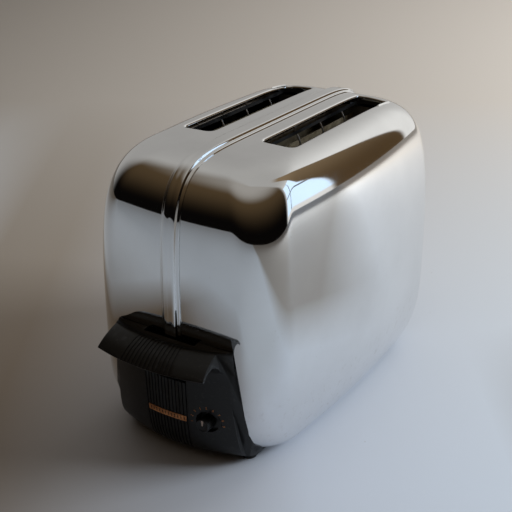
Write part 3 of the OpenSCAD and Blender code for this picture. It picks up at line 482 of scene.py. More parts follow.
crown = [(7.1, 0.05), (7.1, 0.45), (6.85, 0.72), (6.4, 0.8), (5.15, 0.82), (4.95, 0.95), (4.82, 1.2), (4.72, 1.75),
         (4.55, 2.2), (4.2, 2.46), (3.7, 2.56), (2.4, 2.59), (0.9, 2.6), (0.0, 2.52)]
section = crown + [(-x, h) for x, h in reversed(crown[:-1])]


def seam_ring(k):
    """The band's cross-section at the k-th place of the seam, square to the body."""
    ahead, behind = seam[min(k + 1, len(seam) - 1)], seam[max(k - 1, 0)]
    along = Vector((0, ahead[0] - behind[0], ahead[1] - behind[1])).normalized()
    out = Vector((1, 0, 0)).cross(along)
    return [(x, seam[k][0] + out.y * h, min(seam[k][1] + out.z * h, 199.6)) for x, h in section]


nothing()
bpy.ops.mesh.primitive_circle_add(vertices=len(section), radius=0.01, fill_type="NOTHING")
band = named("band_over_seam")
for v, p in zip(band.data.vertices, seam_ring(0)):
    v.co = Vector(p) * MM
edit(band)
bpy.ops.mesh.select_mode(type="EDGE")
bpy.ops.mesh.select_all(action="SELECT")
ring = seam_ring(0)
for k in range(1, len(seam)):
    ring = draw_ring(ring, seam_ring(k))
for end in (-1, 1):
    pick_border(lambda p: p.y * end > 0)
    bpy.ops.mesh.edge_face_add()
leave_edit()
recalculated(band)
smooth(band, 40)
done(band, "chassis", ["centre_band"])

# %% [markdown]
# ## The end mouldings
# Each end wears a black phenolic moulding: a skirt round the control end's foot and, above it, a
# visor that serves as the handle. In plan it is part of a large circle, so its section is drawn
# once and turned about an upright axis. Its ends are then cut to a crease and a side facet that
# runs back to the body.

# %% The moulding's section, turned about its axis
AXIS_Y, BODY_Y = -7.2, -124.0
handle_top = [(-6, 88.2), (3.2, 85.8), (8.4, 85.5), (11.2, 86.4), (13.4, 87), (15.2, 86.7), (19.6, 84.8),
              (24.8, 82), (29, 78.6), (31, 76.6)]
handle_under = [(30.2, 75.7), (28.4, 76.8), (25, 79.2), (21, 80.4), (17.8, 79.8)]
outer_face = [(14.8, 77.4), (11, 71), (10.2, 62), (10, 60), (9.6, 46), (8.8, 32), (7.4, 20), (5.6, 12.5),
              (2.6, 7.6), (-1.6, 5.2), (-6, 4.5)]
inner_face = [(-44.6, 4.5), (-44.6, 7.5), (-6.4, 7.5), (-2.6, 8.4), (0.6, 10.6), (2.8, 14.4), (4.2, 21),
              (5.6, 32), (6.4, 46), (6.8, 60), (7.4, 72), (6.6, 81.8), (2, 82.4), (-6, 84)]


def through(points, cuts=3):
    """A smooth curve through the points, with cuts more points in each stretch."""
    made = []
    for k in range(len(points) - 1):
        p0 = Vector(points[max(k - 1, 0)])
        p1, p2 = Vector(points[k]), Vector(points[k + 1])
        p3 = Vector(points[min(k + 2, len(points) - 1)])
        long = (p2 - p1).length
        m1 = (p2 - p0) / max((p2 - p0).length, 1e-6) * long
        m2 = (p3 - p1) / max((p3 - p1).length, 1e-6) * long
        for c in range(cuts + 1):
            t = c / (cuts + 1)
            made.append(p1 * (2 * t ** 3 - 3 * t ** 2 + 1) + m1 * (t ** 3 - 2 * t ** 2 + t)
                        + p2 * (-2 * t ** 3 + 3 * t ** 2) + m2 * (t ** 3 - t ** 2))
    return [(p[0], p[1]) for p in made] + [tuple(points[-1])]


face_curve = through(outer_face)
section = through(handle_top) + through(handle_under + face_curve[:1], 2)[:-1] + face_curve + inner_face


def turned(profile, half_angle, steps, name):
    """A solid turned about the moulding's upright axis. The profile is [distance out, height]."""
    nothing()
    bpy.ops.mesh.primitive_circle_add(vertices=len(profile), radius=0.01, fill_type="NOTHING")
    piece = named(name)
    a = math.radians(-half_angle)
    for v, (out, z) in zip(piece.data.vertices, profile):
        reach = out - BODY_Y + AXIS_Y
        v.co = Vector((reach * math.sin(a), AXIS_Y - reach * math.cos(a), z)) * MM
    edit(piece)
    bpy.ops.mesh.select_mode(type="EDGE")
    bpy.ops.mesh.select_all(action="SELECT")
    bpy.ops.mesh.spin(steps=steps, angle=math.radians(-2 * half_angle), center=(0, AXIS_Y * MM, 0), axis=(0, 0, 1))
    for side in (-1, 1):
        pick_border(lambda p: p.x * side > 0)
        bpy.ops.mesh.edge_face_add()
    leave_edit()
    recalculated(piece)
    return piece


front_moulding = turned(section, 32, 56, "front_moulding")
print("turned:", triangles(front_moulding), "triangles, x to",
      round(max(v.co.x for v in front_moulding.data.vertices) / MM, 1))

# %% Cut the moulding's ends to the crease and the side facet
# The cutter is two solids in one: a straight prism with the crease's outline for the handle, and the
# wrap of all crease and facet corners for the sides that flare back to the body.
crease = [(38.4, -132.7, 90), (45.3, -126.6, 54), (48.8, -115.4, 9), (49.2, -112, 0)]
facet_foot = [(43.8, -122, 90), (47.6, -121.5, 67), (50.3, -121, 51), (52.9, -119, 32), (53.6, -114.5, 19),
              (53, -106, 8), (52.6, -104, 0)]


def cutter_from(corners, name):
    """The wrap round a set of corners, as a solid."""
    nothing()
    bpy.ops.mesh.primitive_cube_add(size=1)
    piece = named(name)
    bm = bmesh.new()
    for p in corners:
        bm.verts.new(Vector(p) * MM)
    bmesh.ops.convex_hull(bm, input=bm.verts)
    loose = [v for v in bm.verts if not v.link_faces]
    bmesh.ops.delete(bm, geom=loose, context="VERTS")
    bm.to_mesh(piece.data)
    bm.free()
    return piece


def cut(piece, cutters, how="DIFFERENCE"):
    """Cuts a piece with solids, which are used up."""
    for cutter in cutters:
        only(piece)
        modifier = piece.modifiers.new("cut", "BOOLEAN")
        modifier.operation = how
        modifier.solver = "EXACT"
        modifier.object = cutter
        bpy.ops.object.modifier_apply(modifier="cut")
        bpy.data.objects.remove(cutter)


def slab(x0, x1, y0, y1, z0, z1, name="slab"):
    nothing()
    bpy.ops.mesh.primitive_cube_add(size=1, location=((x0 + x1) / 2 * MM, (y0 + y1) / 2 * MM, (z0 + z1) / 2 * MM),
                                    scale=((x1 - x0) * MM, (y1 - y0) * MM, (z1 - z0) * MM))
    piece = named(name)
    place_is_in_mesh(piece)
    return piece


prism = cutter_from([(s * x, y, z) for s in (-1, 1) for x, _, z in crease for y in (-190, -60)], "crease_prism")
wrap = cutter_from([(s * x, y, z) for s in (-1, 1) for x, y, z in crease + facet_foot]
                   + [(s * x, -79, z) for s in (-1, 1) for x, _, z in facet_foot], "facet_wrap")
cut(prism, [wrap], "UNION")
cheeks = turned(face_curve + [(-44.6, 4.5), (-44.6, 77.4)], 32, 40, "side_cheeks")
cut(cheeks, [copy_of(prism, "limits")], "INTERSECT")
cut(cheeks, [slab(-46.4, 46.4, -190, -60, -5, 90)])
cut(front_moulding, [prism], "INTERSECT")
cut(front_moulding, [cheeks], "UNION")
print("ends cut:", triangles(front_moulding), "triangles")

# %% Take out the body's end
# The moulding fits round the body's bowed end. The cutter is the end's own profile, turned about an
# axis far behind it, so it has the same bow.
END_BOW_R = 78 ** 2 / (2 * END_BOW)
end_zs = np.linspace(RIM_Z, 96, 30)
end_profile = ([(END_BOW_R - 60, RIM_Z - 0.1), (END_BOW_R - 124 + float(half_sizes(RIM_Z)[1]) + 0.1, RIM_Z - 0.1)]
               + [(END_BOW_R - 124 + float(half_sizes(z)[1]) + 0.1, z) for z in end_zs]
               + [(END_BOW_R - 60, 96)])
nothing()
bpy.ops.mesh.primitive_circle_add(vertices=len(end_profile), radius=0.01, fill_type="NOTHING")
body_end = named("body_end")
for v, (reach, z) in zip(body_end.data.vertices, end_profile):
    a = math.radians(-14)
    v.co = Vector((reach * math.sin(a), END_BOW_R - 124 - reach * math.cos(a), z)) * MM
edit(body_end)
bpy.ops.mesh.select_mode(type="EDGE")
bpy.ops.mesh.select_all(action="SELECT")
bpy.ops.mesh.spin(steps=40, angle=math.radians(-28), center=(0, (END_BOW_R - 124) * MM, 0), axis=(0, 0, 1))
for side in (-1, 1):
    pick_border(lambda p: p.x * side > 0)
    bpy.ops.mesh.edge_face_add()
recalculated(body_end)
cut(front_moulding, [body_end])
print("fitted to the body:", triangles(front_moulding), "triangles")


# %% Soften the moulding's edges
def bevelled(piece, width, segments=2, degrees=32):
    with_modifier(piece, "BEVEL", width=width * MM, segments=segments, limit_method="ANGLE",
                  angle_limit=math.radians(degrees), harden_normals=False)


only(front_moulding)
cut(front_moulding, [slab(-19.8, 19.8, -128, -100, 79, 99), slab(-90, 90, -79.4, -60, 0, 20)])
recalculated(front_moulding)
edit(front_moulding)
bpy.ops.mesh.select_all(action="SELECT")
bpy.ops.mesh.dissolve_limited(angle_limit=math.radians(0.5))
leave_edit()
bevelled(front_moulding, 0.55, 3)
print("edges softened:", triangles(front_moulding), "triangles")
rear_blank = copy_of(front_moulding, "rear_moulding")

# %% Flutes, the dark recess, the handle's ribs and the plate's seat
FACE_R, FLUTE_HALF, FLUTES, RIBS = 126.8, 15.8, 12, 12


def face_angle(x):
    return math.degrees(math.asin(x / FACE_R))


def turned_round(piece, degrees):
    """Turns a piece about the moulding's upright axis."""
    only(piece)
    bpy.ops.transform.rotate(value=math.radians(-degrees), orient_axis="Z", center_override=(0, AXIS_Y * MM, 0))
    place_is_in_mesh(piece)


def face_out(z):
    """How far out the moulding's face stands at a height."""
    face = sorted((p[1], p[0]) for p in face_curve)
    return float(np.interp(z, [p[0] for p in face], [p[1] for p in face]))


low_face = [p for p in face_curve if p[1] <= 60.01]
groove = [(p[0] + 3, p[1] - 0.5) for p in low_face] + [(p[0] - 0.9, p[1] + 0.3) for p in reversed(low_face)]
print("grooves:", FLUTES + 1, "at a pitch of", round(2 * face_angle(FLUTE_HALF) / FLUTES, 2), "degrees")

# %% Cut them
cutters = []
for k in range(FLUTES + 1):
    flute = turned(groove, 0.19, 1, "flute")
    turned_round(flute, face_angle(FLUTE_HALF) * (2 * k / FLUTES - 1))
    cutters.append(flute)
cutters = [joined(cutters, "flutes")]
cutters.append(turned([(17, 60), (8, 60), (8, 65), (17, 65)], face_angle(FLUTE_HALF + 0.4), 8, "dark_recess"))
top_curve = [p for p in through(handle_top) if p[0] > 11.3]
rib_groove = [(p[0] + 1.2, p[1] + 2) for p in top_curve] + [(p[0] - 0.3, p[1] - 0.4) for p in reversed(top_curve)]
ribs = []
for k in range(RIBS + 1):
    rib = turned(rib_groove, 0.15, 1, "rib")
    turned_round(rib, face_angle(FLUTE_HALF) * (2 * k / RIBS - 1))
    ribs.append(rib)
cutters.append(joined(ribs, "ribs"))
PLATE_Z, PLATE_H, PLATE_W = 30.7, 4.2, 30.4
low, high = face_out(PLATE_Z), face_out(PLATE_Z + PLATE_H)
cutters.append(turned([(low + 3, PLATE_Z), (low - 0.5, PLATE_Z), (high - 0.5, PLATE_Z + PLATE_H),
                       (high + 3, PLATE_Z + PLATE_H)], face_angle(PLATE_W / 2), 10, "plate_seat"))
cut(front_moulding, cutters)
print("cut:", triangles(front_moulding), "triangles")

# %% The knob's recess
KNOB_X, KNOB_Z, KNOB_FACE_Y = 29.4, 33.8, -129.4


def rod(x, z, y0, y1, r, name="rod", corners=64):
    """A round rod lying along the depth."""
    nothing()
    bpy.ops.mesh.primitive_cylinder_add(vertices=corners, radius=r * MM, depth=(y1 - y0) * MM,
                                        location=(x * MM, (y0 + y1) / 2 * MM, z * MM),
                                        rotation=(math.pi / 2, 0, 0))
    piece = named(name)
    place_is_in_mesh(piece)
    return piece


boss = rod(KNOB_X, KNOB_Z, KNOB_FACE_Y + 1.5, KNOB_FACE_Y + 8.2, 9.6, "boss")
cut(front_moulding, [boss], "UNION")
cut(front_moulding, [rod(KNOB_X, KNOB_Z, KNOB_FACE_Y - 10, KNOB_FACE_Y + 5.2, 7.6),
                     rod(KNOB_X, KNOB_Z, KNOB_FACE_Y, KNOB_FACE_Y + 12, 2.06)])
for piece, side, node in ((front_moulding, -1, "front_panel"), (rear_blank, 1, "rear_panel")):
    if side > 0:
        only(piece)
        bpy.ops.transform.resize(value=(1, -1, 1), center_override=(0, 0, 0))
        place_is_in_mesh(piece)
        cut(piece, [rod(0, 18, 110, 160, 6.45)])
    recalculated(piece)
    bevelled(piece, 0.13, 2, 40)
    smooth(piece, 40)
    done(piece, "chassis", [node])

# %% [markdown]
# ## Nameplate
# The copper plate under the flutes is thin sheet let into the moulding and follows its bend. Its
# place is kept bare but for a raised border and a row of plain upright lines.

# %% The plate, its border and its lines
plate = turned([(low + 0.35, PLATE_Z + 0.05), (low - 0.5, PLATE_Z + 0.05), (high - 0.5, PLATE_Z + PLATE_H - 0.05),
                (high + 0.35, PLATE_Z + PLATE_H - 0.05)], face_angle(PLATE_W / 2 - 0.1), 40, "nameplate_sheet")
edit(plate)
pick("FACE", lambda p: -p.y > 100 and math.hypot(p.x, p.y - AXIS_Y) > FACE_R + face_out(p.z) - 10 + 0.2)
bpy.ops.mesh.inset(thickness=0.35 * MM, depth=-0.22 * MM)
leave_edit()
bevelled(plate, 0.08, 2)
smooth(plate, 40)
done(plate, "chassis", ["nameplate"])

# %% [markdown]
# ## Dial and knob
# The real scale has small orange marks on an arc over the knob. Plain numbers from 1 to 9 stand in
# for them here: they are printed flat on the moulding, so each is a very thin raised shape.

# %% Numbers round the knob
def face_y(x, z):
    """The moulding's surface in front of a point of its face."""
    reach = face_out(z) - BODY_Y + AXIS_Y
    return AXIS_Y - math.sqrt(reach ** 2 - x ** 2)


numbers = []
for k in range(9):
    q = math.radians(188 - 196 * k / 8)
    x, z = KNOB_X + 10.5 * math.cos(q), KNOB_Z + 10.5 * math.sin(q)
    nothing()
    bpy.ops.object.text_add(location=(0, 0, 0))
    digit = named("number")
    digit.data.body = str(k + 1)
    digit.data.size = 2.5 * MM
    digit.data.extrude = 0.12 * MM
    digit.data.align_x, digit.data.align_y = "CENTER", "CENTER"
    bpy.ops.object.convert(target="MESH")
    slope = math.atan2(face_out(z + 1) - face_out(z - 1), 2)
    digit.rotation_euler = (math.radians(90) + slope, math.pi / 2 - q, 0)
    spin = Matrix.Rotation(math.asin(x / FACE_R), 4, "Z")
    tilt = Matrix.Rotation(slope, 4, "X") @ Matrix.Rotation(math.radians(90), 4, "X")
    digit.matrix_world = (Matrix.Translation(Vector((x, face_y(x, z), z)) * MM) @ spin @ tilt
                          @ Matrix.Rotation(q - math.pi / 2, 4, "Z"))
    place_is_in_mesh(digit)
    numbers.append(digit)
numbers = joined(numbers, "dial_numbers")
done(numbers, "chassis", ["dial_ticks"])

# %% Knob: a skirt, a cap with a rolled edge and fine grip ridges
knob = rod(KNOB_X, KNOB_Z, -134.9, -124.6, 4.6, "knob", 72)
edit(knob)
pick("FACE", lambda p: p.y < -134.8)
bpy.ops.mesh.inset(thickness=0.5 * MM, depth=0.35 * MM)
bpy.ops.mesh.inset(thickness=0.7 * MM, depth=-0.5 * MM)
bpy.ops.mesh.inset(thickness=1.2 * MM, depth=-0.1 * MM)
leave_edit()
for v in knob.data.vertices:
    around = Vector((v.co.x / MM - KNOB_X, 0, v.co.z / MM - KNOB_Z))
    ridge = round(math.atan2(around.z, around.x) / (2 * math.pi / 72))
    if around.length > 4.5 and ridge % 3 == 0:
        v.co.x, v.co.z = (KNOB_X + around.x * 0.955) * MM, (KNOB_Z + around.z * 0.955) * MM
skirt = rod(KNOB_X, KNOB_Z, -126.1, -124.5, 7.1, "skirt", 72)
knob = joined([knob, skirt], "control_knob_cap")
bevelled(knob, 0.22, 2, 40)
smooth(knob, 35)
done(knob, "control", ["control_knob"])

# %% Pointer: a light wedge let into the cap's face
pointer = slab(KNOB_X - 0.75, KNOB_X + 0.75, -135.2, -134.2, KNOB_Z + 0.2, KNOB_Z + 4.1, "pointer_wedge")
edit(pointer)
pick("FACE", lambda p: p.z < KNOB_Z + 0.3)
bpy.ops.transform.resize(value=(0.4, 1, 1))
leave_edit()
bevelled(pointer, 0.12, 2)
smooth(pointer, 35)
done(pointer, "control", ["knob_pointer"])

# %% [markdown]
# ## Feet and guard wires
# The four rubber feet are short pads with a rounded lower edge. The guard wires keep the bread off
# the heaters; each is a bent wire whose top turns outwards under the slot, so it is drawn as a
# curve with thickness and then made a mesh.

# %% Feet
feet = []
for x in (-45, 45):
    for y in (-104.5, 104.5):
        nothing()
        bpy.ops.mesh.primitive_cylinder_add(vertices=48, radius=5 * MM, depth=4.5 * MM,
                                            location=(x * MM, y * MM, 2.25 * MM))
        foot = named("foot")
        place_is_in_mesh(foot)
        edit(foot)
        pick("FACE", lambda p: p.z < 0.1)
        bpy.ops.mesh.inset(thickness=1.9 * MM, depth=0)
        bpy.ops.mesh.extrude_region_move(TRANSFORM_OT_translate={"value": (0, 0, 1.6 * MM)})
        leave_edit()
        feet.append(foot)
feet = joined(feet, "rubber_feet")
bevelled(feet, 0.7, 3, 40)
recalculated(feet)
smooth(feet, 35)
done(feet, "chassis", ["feet"])


# %% Guard wires
def wire(points, r, name):
    curve = bpy.data.curves.new(name, "CURVE")
    curve.dimensions = "3D"
    curve.bevel_depth, curve.bevel_resolution, curve.use_fill_caps = r * MM, 2, True
    line = curve.splines.new("POLY")
    line.points.add(len(points) - 1)
    for p, q in zip(line.points, points):
        p.co = (*(Vector(q) * MM), 1)
    piece = bpy.data.objects.new(name, curve)
    scene.collection.objects.link(piece)
    only(piece)
    bpy.ops.object.convert(target="MESH")
    return bpy.context.object


for side, tag in ((-1, "left"), (1, "right")):
    wires = []
    for where in (-1, 1):
        x = side * SLOT_X + where * (SLOT_W / 2 - 1.4)
        for z in (40, 180.8):
            wires.append(wire([(x, -66 + 0.5, z), (x, 98, z)], 0.6, "level_wire"))
        for k in range(4):
            y = SLOT_Y0 + 16.4 + 31.8 * k
            bend = [(x + where * 3.4 * (t / 6) ** 1.6, y, 180.8 + 8 * t / 6) for t in range(7)]
            wires.append(wire([(x, y, 40), (x, y, 110), (x, y, 170)] + bend, 0.7, "upright_wire"))
    wires = joined(wires, "guard_wires_" + tag + "_bent")
    smooth(wires, 60)
    done(wires, "chassis", ["guard_wires_" + tag])

# %% [markdown]
# ## Materials
# Each material slot of the model gets a recipe of procedural textures on object coordinates, so the
# grain keeps its true size. The chrome carries most of the look: a clear mirror with faint
# polishing lines, a slight unevenness of the pressed sheet, pits and small rust specks, and a
# duller film. Black phenolic is satin with a fine grain and dust.

# %% Tools for procedural textures
class Recipe:
    """The node tree of one named material, rebuilt from empty."""

    def __init__(self, name):
        self.material = bpy.data.materials.get(name) or bpy.data.materials.new(name)
        self.material.use_nodes = True
        self.tree = self.material.node_tree
        self.tree.nodes.clear()
        self.out = self.tree.nodes.new("ShaderNodeOutputMaterial")
        self.shader = self.tree.nodes.new("ShaderNodeBsdfPrincipled")
        self.tree.links.new(self.shader.outputs[0], self.out.inputs[0])
        self.place = self.tree.nodes.new("ShaderNodeTexCoord").outputs["Object"]

    def link(self, a, b):
        if isinstance(a, (int, float)):
            b.default_value = a
        elif isinstance(a, tuple):
            b.default_value = (*a, 1) if len(a) == 3 and b.type == "RGBA" else a
        else:
            self.tree.links.new(a, b)

    def stretched(self, scale):
        node = self.tree.nodes.new("ShaderNodeMapping")
        node.inputs["Scale"].default_value = scale
        self.link(self.place, node.inputs[0])
        return node.outputs[0]

    def noise(self, scale, detail=3, roughness=0.5, stretch=None):
        node = self.tree.nodes.new("ShaderNodeTexNoise")
        node.inputs["Scale"].default_value = scale
        node.inputs["Detail"].default_value = detail
        node.inputs["Roughness"].default_value = roughness
        self.link(self.stretched(stretch) if stretch else self.place, node.inputs["Vector"])
        return node.outputs["Fac"]

    def spots(self, scale, size, randomness=1.0):
        """1 in small round spots, 0 elsewhere."""
        node = self.tree.nodes.new("ShaderNodeTexVoronoi")
        node.inputs["Scale"].default_value = scale
        node.inputs["Randomness"].default_value = randomness
        self.link(self.place, node.inputs["Vector"])
        return self.ranged(node.outputs["Distance"], size * 0.6, size, 1, 0)

    def ranged(self, value, a, b, c, d):
        node = self.tree.nodes.new("ShaderNodeMapRange")
        for k, v in enumerate((value, a, b, c, d)):
            self.link(v, node.inputs[k])
        return node.outputs[0]

    def maths(self, kind, a, b):
        node = self.tree.nodes.new("ShaderNodeMath")
        node.operation = kind
        self.link(a, node.inputs[0])
        self.link(b, node.inputs[1])
        return node.outputs[0]

    def mixed(self, share, a, b):
        node = self.tree.nodes.new("ShaderNodeMix")
        node.data_type = "RGBA"
        self.link(share, node.inputs[0])
        self.link(a, node.inputs[6])
        self.link(b, node.inputs[7])
        return node.outputs[2]

    def along(self, axis):
        node = self.tree.nodes.new("ShaderNodeSeparateXYZ")
        self.link(self.place, node.inputs[0])
        return node.outputs[axis]

    def bump(self, *layers):
        """Layers of (height, strength in mm)."""
        last = None
        for height, depth in layers:
            node = self.tree.nodes.new("ShaderNodeBump")
            node.inputs["Strength"].default_value = 1
            node.inputs["Distance"].default_value = depth * MM
            self.link(height, node.inputs["Height"])
            if last:
                self.link(last, node.inputs["Normal"])
            last = node.outputs[0]
        self.link(last, self.shader.inputs["Normal"])

    def set(self, colour, metallic, roughness):
        self.link(colour, self.shader.inputs["Base Color"])
        self.link(metallic, self.shader.inputs["Metallic"])
        self.link(roughness, self.shader.inputs["Roughness"])


# %% Chrome
chrome = Recipe("chrome")
film = chrome.noise(14, 4, 0.6)
lines = chrome.noise(60, 3, 0.6, (14, 14, 0.7))
pits = chrome.spots(330, 0.075)
patchy = chrome.ranged(chrome.noise(26, 3, 0.6), 0.5, 0.66, 0, 1)
specks = chrome.maths("MULTIPLY", pits, patchy)
low_down = chrome.ranged(chrome.along(2), 0.01, 0.06, 0.5, 0)
grime = chrome.maths("MULTIPLY", low_down, chrome.ranged(chrome.noise(230, 5, 0.7), 0.56, 0.72, 0, 0.8))
metal = chrome.mixed(chrome.ranged(film, 0.35, 0.7, 0, 1), (0.84, 0.845, 0.85), (0.76, 0.765, 0.77))
metal = chrome.mixed(grime, metal, (0.20, 0.16, 0.12))
metal = chrome.mixed(chrome.maths("MULTIPLY", specks, 0.85), metal, (0.10, 0.07, 0.05))
rough = chrome.ranged(film, 0.3, 0.7, 0.022, 0.06)
rough = chrome.maths("ADD", rough, chrome.ranged(lines, 0.5, 0.8, 0, 0.03))
rough = chrome.maths("ADD", rough, chrome.maths("MULTIPLY", chrome.maths("MAXIMUM", specks, grime), 0.35))
chrome.set(metal, 1.0, rough)
chrome.bump((chrome.noise(9, 1, 0.4), 0.10), (lines, 0.0016), (specks, -0.02))

# %% Black moulding, knob and rubber
for name, tone, shine, grain in (("moulding", 0.005, 0.30, 0.010), ("knob_moulding", 0.005, 0.24, 0.006),
                                 ("rubber", 0.014, 0.72, 0.03), ("fibre", 0.035, 0.6, 0.02)):
    r = Recipe(name)
    cloud = r.noise(45, 4, 0.6)
    dust = r.maths("MULTIPLY", r.ranged(r.noise(380, 3, 0.7), 0.58, 0.72, 0, 1), 0.10)
    colour = r.mixed(r.ranged(cloud, 0.3, 0.7, 0, 1), (tone, tone, tone * 1.06), (tone * 1.7, tone * 1.65, tone * 1.6))
    colour = r.mixed(dust, colour, (0.20, 0.19, 0.17))
    r.set(colour, 0.0, r.ranged(cloud, 0.3, 0.7, shine, shine + 0.12))
    r.shader.inputs["Specular IOR Level"].default_value = 0.38
    r.bump((r.noise(900, 2, 0.5), grain), (r.noise(30, 1, 0.4), 0.03))

# %% Copper plate, paints
plate_face = Recipe("copper_plate")
worn = plate_face.ranged(plate_face.noise(260, 5, 0.7), 0.42, 0.62, 0, 1)
strokes = plate_face.tree.nodes.new("ShaderNodeTexWave")
strokes.bands_direction = "X"
strokes.inputs["Scale"].default_value = 130
strokes.inputs["Distortion"].default_value = 0
plate_face.link(plate_face.place, strokes.inputs["Vector"])
engraved = plate_face.maths("MULTIPLY", plate_face.ranged(strokes.outputs["Fac"], 0.80, 0.86, 0, 1),
                            plate_face.maths("MULTIPLY",
                                             plate_face.ranged(plate_face.along(2), 0.0314, 0.0316, 0, 1),
                                             plate_face.ranged(plate_face.along(2), 0.0338, 0.0340, 1, 0)))
colour = plate_face.mixed(worn, (0.80, 0.36, 0.15), (0.52, 0.22, 0.09))
colour = plate_face.mixed(engraved, colour, (0.03, 0.02, 0.018))
plate_face.set(colour, 0.75, plate_face.ranged(worn, 0, 1, 0.32, 0.55))
plate_face.bump((plate_face.noise(1500, 2, 0.5), 0.01), (engraved, -0.12))
for name, tone in (("tick_paint", (0.62, 0.23, 0.06)), ("pointer_paint", (0.80, 0.62, 0.52))):
    r = Recipe(name)
    rubbed = r.ranged(r.noise(1200, 4, 0.7), 0.5, 0.7, 0, 0.7)
    r.set(r.mixed(rubbed, tone, tuple(0.35 * c for c in tone)), 0.0, 0.5)
    r.bump((r.noise(1600, 2, 0.5), 0.02))

# %% Steels, brass, copper wire, mica and ceramic
METALS = {"pan_steel": (0.42, 0.43, 0.44, 0.42), "chassis_steel": (0.46, 0.46, 0.45, 0.45),
          "bright_steel": (0.66, 0.66, 0.66, 0.25), "liner_steel": (0.10, 0.105, 0.11, 0.4),
          "heater_alloy": (0.30, 0.26, 0.23, 0.45), "wire_steel": (0.44, 0.42, 0.40, 0.35),
          "spring_steel": (0.40, 0.40, 0.42, 0.35), "gear_steel": (0.38, 0.38, 0.38, 0.4),
          "coil_copper": (0.60, 0.27, 0.14, 0.35), "brass": (0.66, 0.48, 0.20, 0.33)}
for name, (red, green, blue, shine) in METALS.items():
    r = Recipe(name)
    stain = r.ranged(r.noise(60, 5, 0.65), 0.45, 0.72, 0, 1)
    streak = r.noise(220, 3, 0.6, (1, 0.08, 1))
    colour = r.mixed(stain, (red, green, blue), (red * 0.55, green * 0.45, blue * 0.36))
    r.set(colour, r.ranged(stain, 0, 1, 1.0, 0.6), r.maths("ADD", r.ranged(streak, 0.3, 0.7, shine, shine + 0.15),
                                                           r.maths("MULTIPLY", stain, 0.2)))
    r.bump((streak, 0.006), (r.noise(900, 2, 0.5), 0.006))
for name, light, dark, shine in (("mica", (0.30, 0.25, 0.17), (0.14, 0.11, 0.07), 0.35),
                                 ("ceramic", (0.72, 0.70, 0.64), (0.52, 0.47, 0.40), 0.4)):
    r = Recipe(name)
    flake = r.noise(140, 5, 0.7)
    r.set(r.mixed(r.ranged(flake, 0.4, 0.65, 0, 1), light, dark), 0.0, r.ranged(flake, 0.3, 0.7, shine, shine + 0.2))
    r.bump((flake, 0.02))

# %% Put the materials on the pieces
FINISH = {left_shell: "chrome", right_shell: "chrome", band: "chrome", front_moulding: "moulding",
          rear_blank: "moulding", plate: "copper_plate", numbers: "tick_paint", knob: "knob_moulding",
          pointer: "pointer_paint", feet: "rubber"}
for piece in list(bpy.data.objects):
    if piece.name.startswith("guard_wires_") and piece.name.endswith("_bent"):
        FINISH[piece] = "wire_steel"
for piece, name in FINISH.items():
    piece.data.materials.clear()
    piece.data.materials.append(bpy.data.materials[name])
print("finished:", sorted({m for m in FINISH.values()}))

# %% [markdown]
# ## Floor, room and light
# The toaster stands on a pale table by a window. Chrome shows the room more than itself, so the
# room matters: bright and bluish to the right and behind, brown and dim to the front left.

# %% Table top, with the window's falloff and the toaster's shadow painted into its colour
table = Recipe("table_top")
across = table.tree.nodes.new("ShaderNodeVectorMath")
across.operation = "DOT_PRODUCT"
table.link(table.place, across.inputs[0])
across.inputs[1].default_value = (math.cos(AZIMUTH), math.sin(AZIMUTH), 0)
deep = table.tree.nodes.new("ShaderNodeVectorMath")
deep.operation = "DOT_PRODUCT"
table.link(table.place, deep.inputs[0])
deep.inputs[1].default_value = (-math.sin(AZIMUTH), math.cos(AZIMUTH), 0)
# Painted light and shadow: bluish pale to the right where the window light falls, brown to the left where the
# toaster's shadow falls; further back it runs dark on the left to warm pale on the right as the light falls off.
near = table.mixed(table.ranged(across.outputs["Value"], -0.20, 0.02, 0, 1), (0.23, 0.175, 0.125), (0.74, 0.80, 0.92))
near = table.mixed(table.ranged(across.outputs["Value"], 0.0, 0.22, 0, 1), near, (0.76, 0.84, 0.95))
near = table.mixed(table.ranged(across.outputs["Value"], -0.34, -0.26, 1, 0), near, (0.74, 0.80, 0.88))
far = table.mixed(table.ranged(across.outputs["Value"], -0.75, 0.55, 0, 1), (0.30, 0.26, 0.22), (0.92, 0.84, 0.76))
floor_with_painted_light = table.mixed(table.ranged(deep.outputs["Value"], -0.15, 0.75, 0, 1), near, far)
# Painted light: a pale bluish band nearest the camera, out of view, stands for lit table in the chrome's reflections.
floor_with_painted_light = table.mixed(table.ranged(deep.outputs["Value"], -0.27, -0.175, 1, 0), floor_with_painted_light, (0.66, 0.72, 0.80))
# Painted shadow: a darker patch on the table to the right, out of view, that the chrome reflects.
slant = table.maths("SUBTRACT", deep.outputs["Value"], table.maths("MULTIPLY", across.outputs["Value"], 0.35))
shade = table.maths("MULTIPLY", table.ranged(slant, -0.11, 0.0, 1, 0),
                    table.ranged(across.outputs["Value"], 0.15, 0.25, 0, 0.9))
floor_with_painted_light = table.mixed(shade, floor_with_painted_light, (0.34, 0.31, 0.28))
fleck = table.maths("MULTIPLY", table.spots(42, 0.028), table.ranged(table.noise(7, 2, 0.5), 0.5, 0.6, 0, 1))
table.set(table.mixed(table.maths("MULTIPLY", fleck, 0.5), floor_with_painted_light, (0.25, 0.2, 0.16)), 0.0, 0.55)
table.bump((table.noise(220, 3, 0.5), 0.02))
nothing()
bpy.ops.mesh.primitive_plane_add(size=12, location=(0, 0, 0))
floor = named("floor")
floor.data.materials.append(table.material)

# %% The room round it
world = bpy.data.worlds.new("room")
scene.world = world
world.use_nodes = True
room = world.node_tree
direction = room.nodes.new("ShaderNodeTexCoord").outputs["Generated"]
background = room.nodes["Background"]


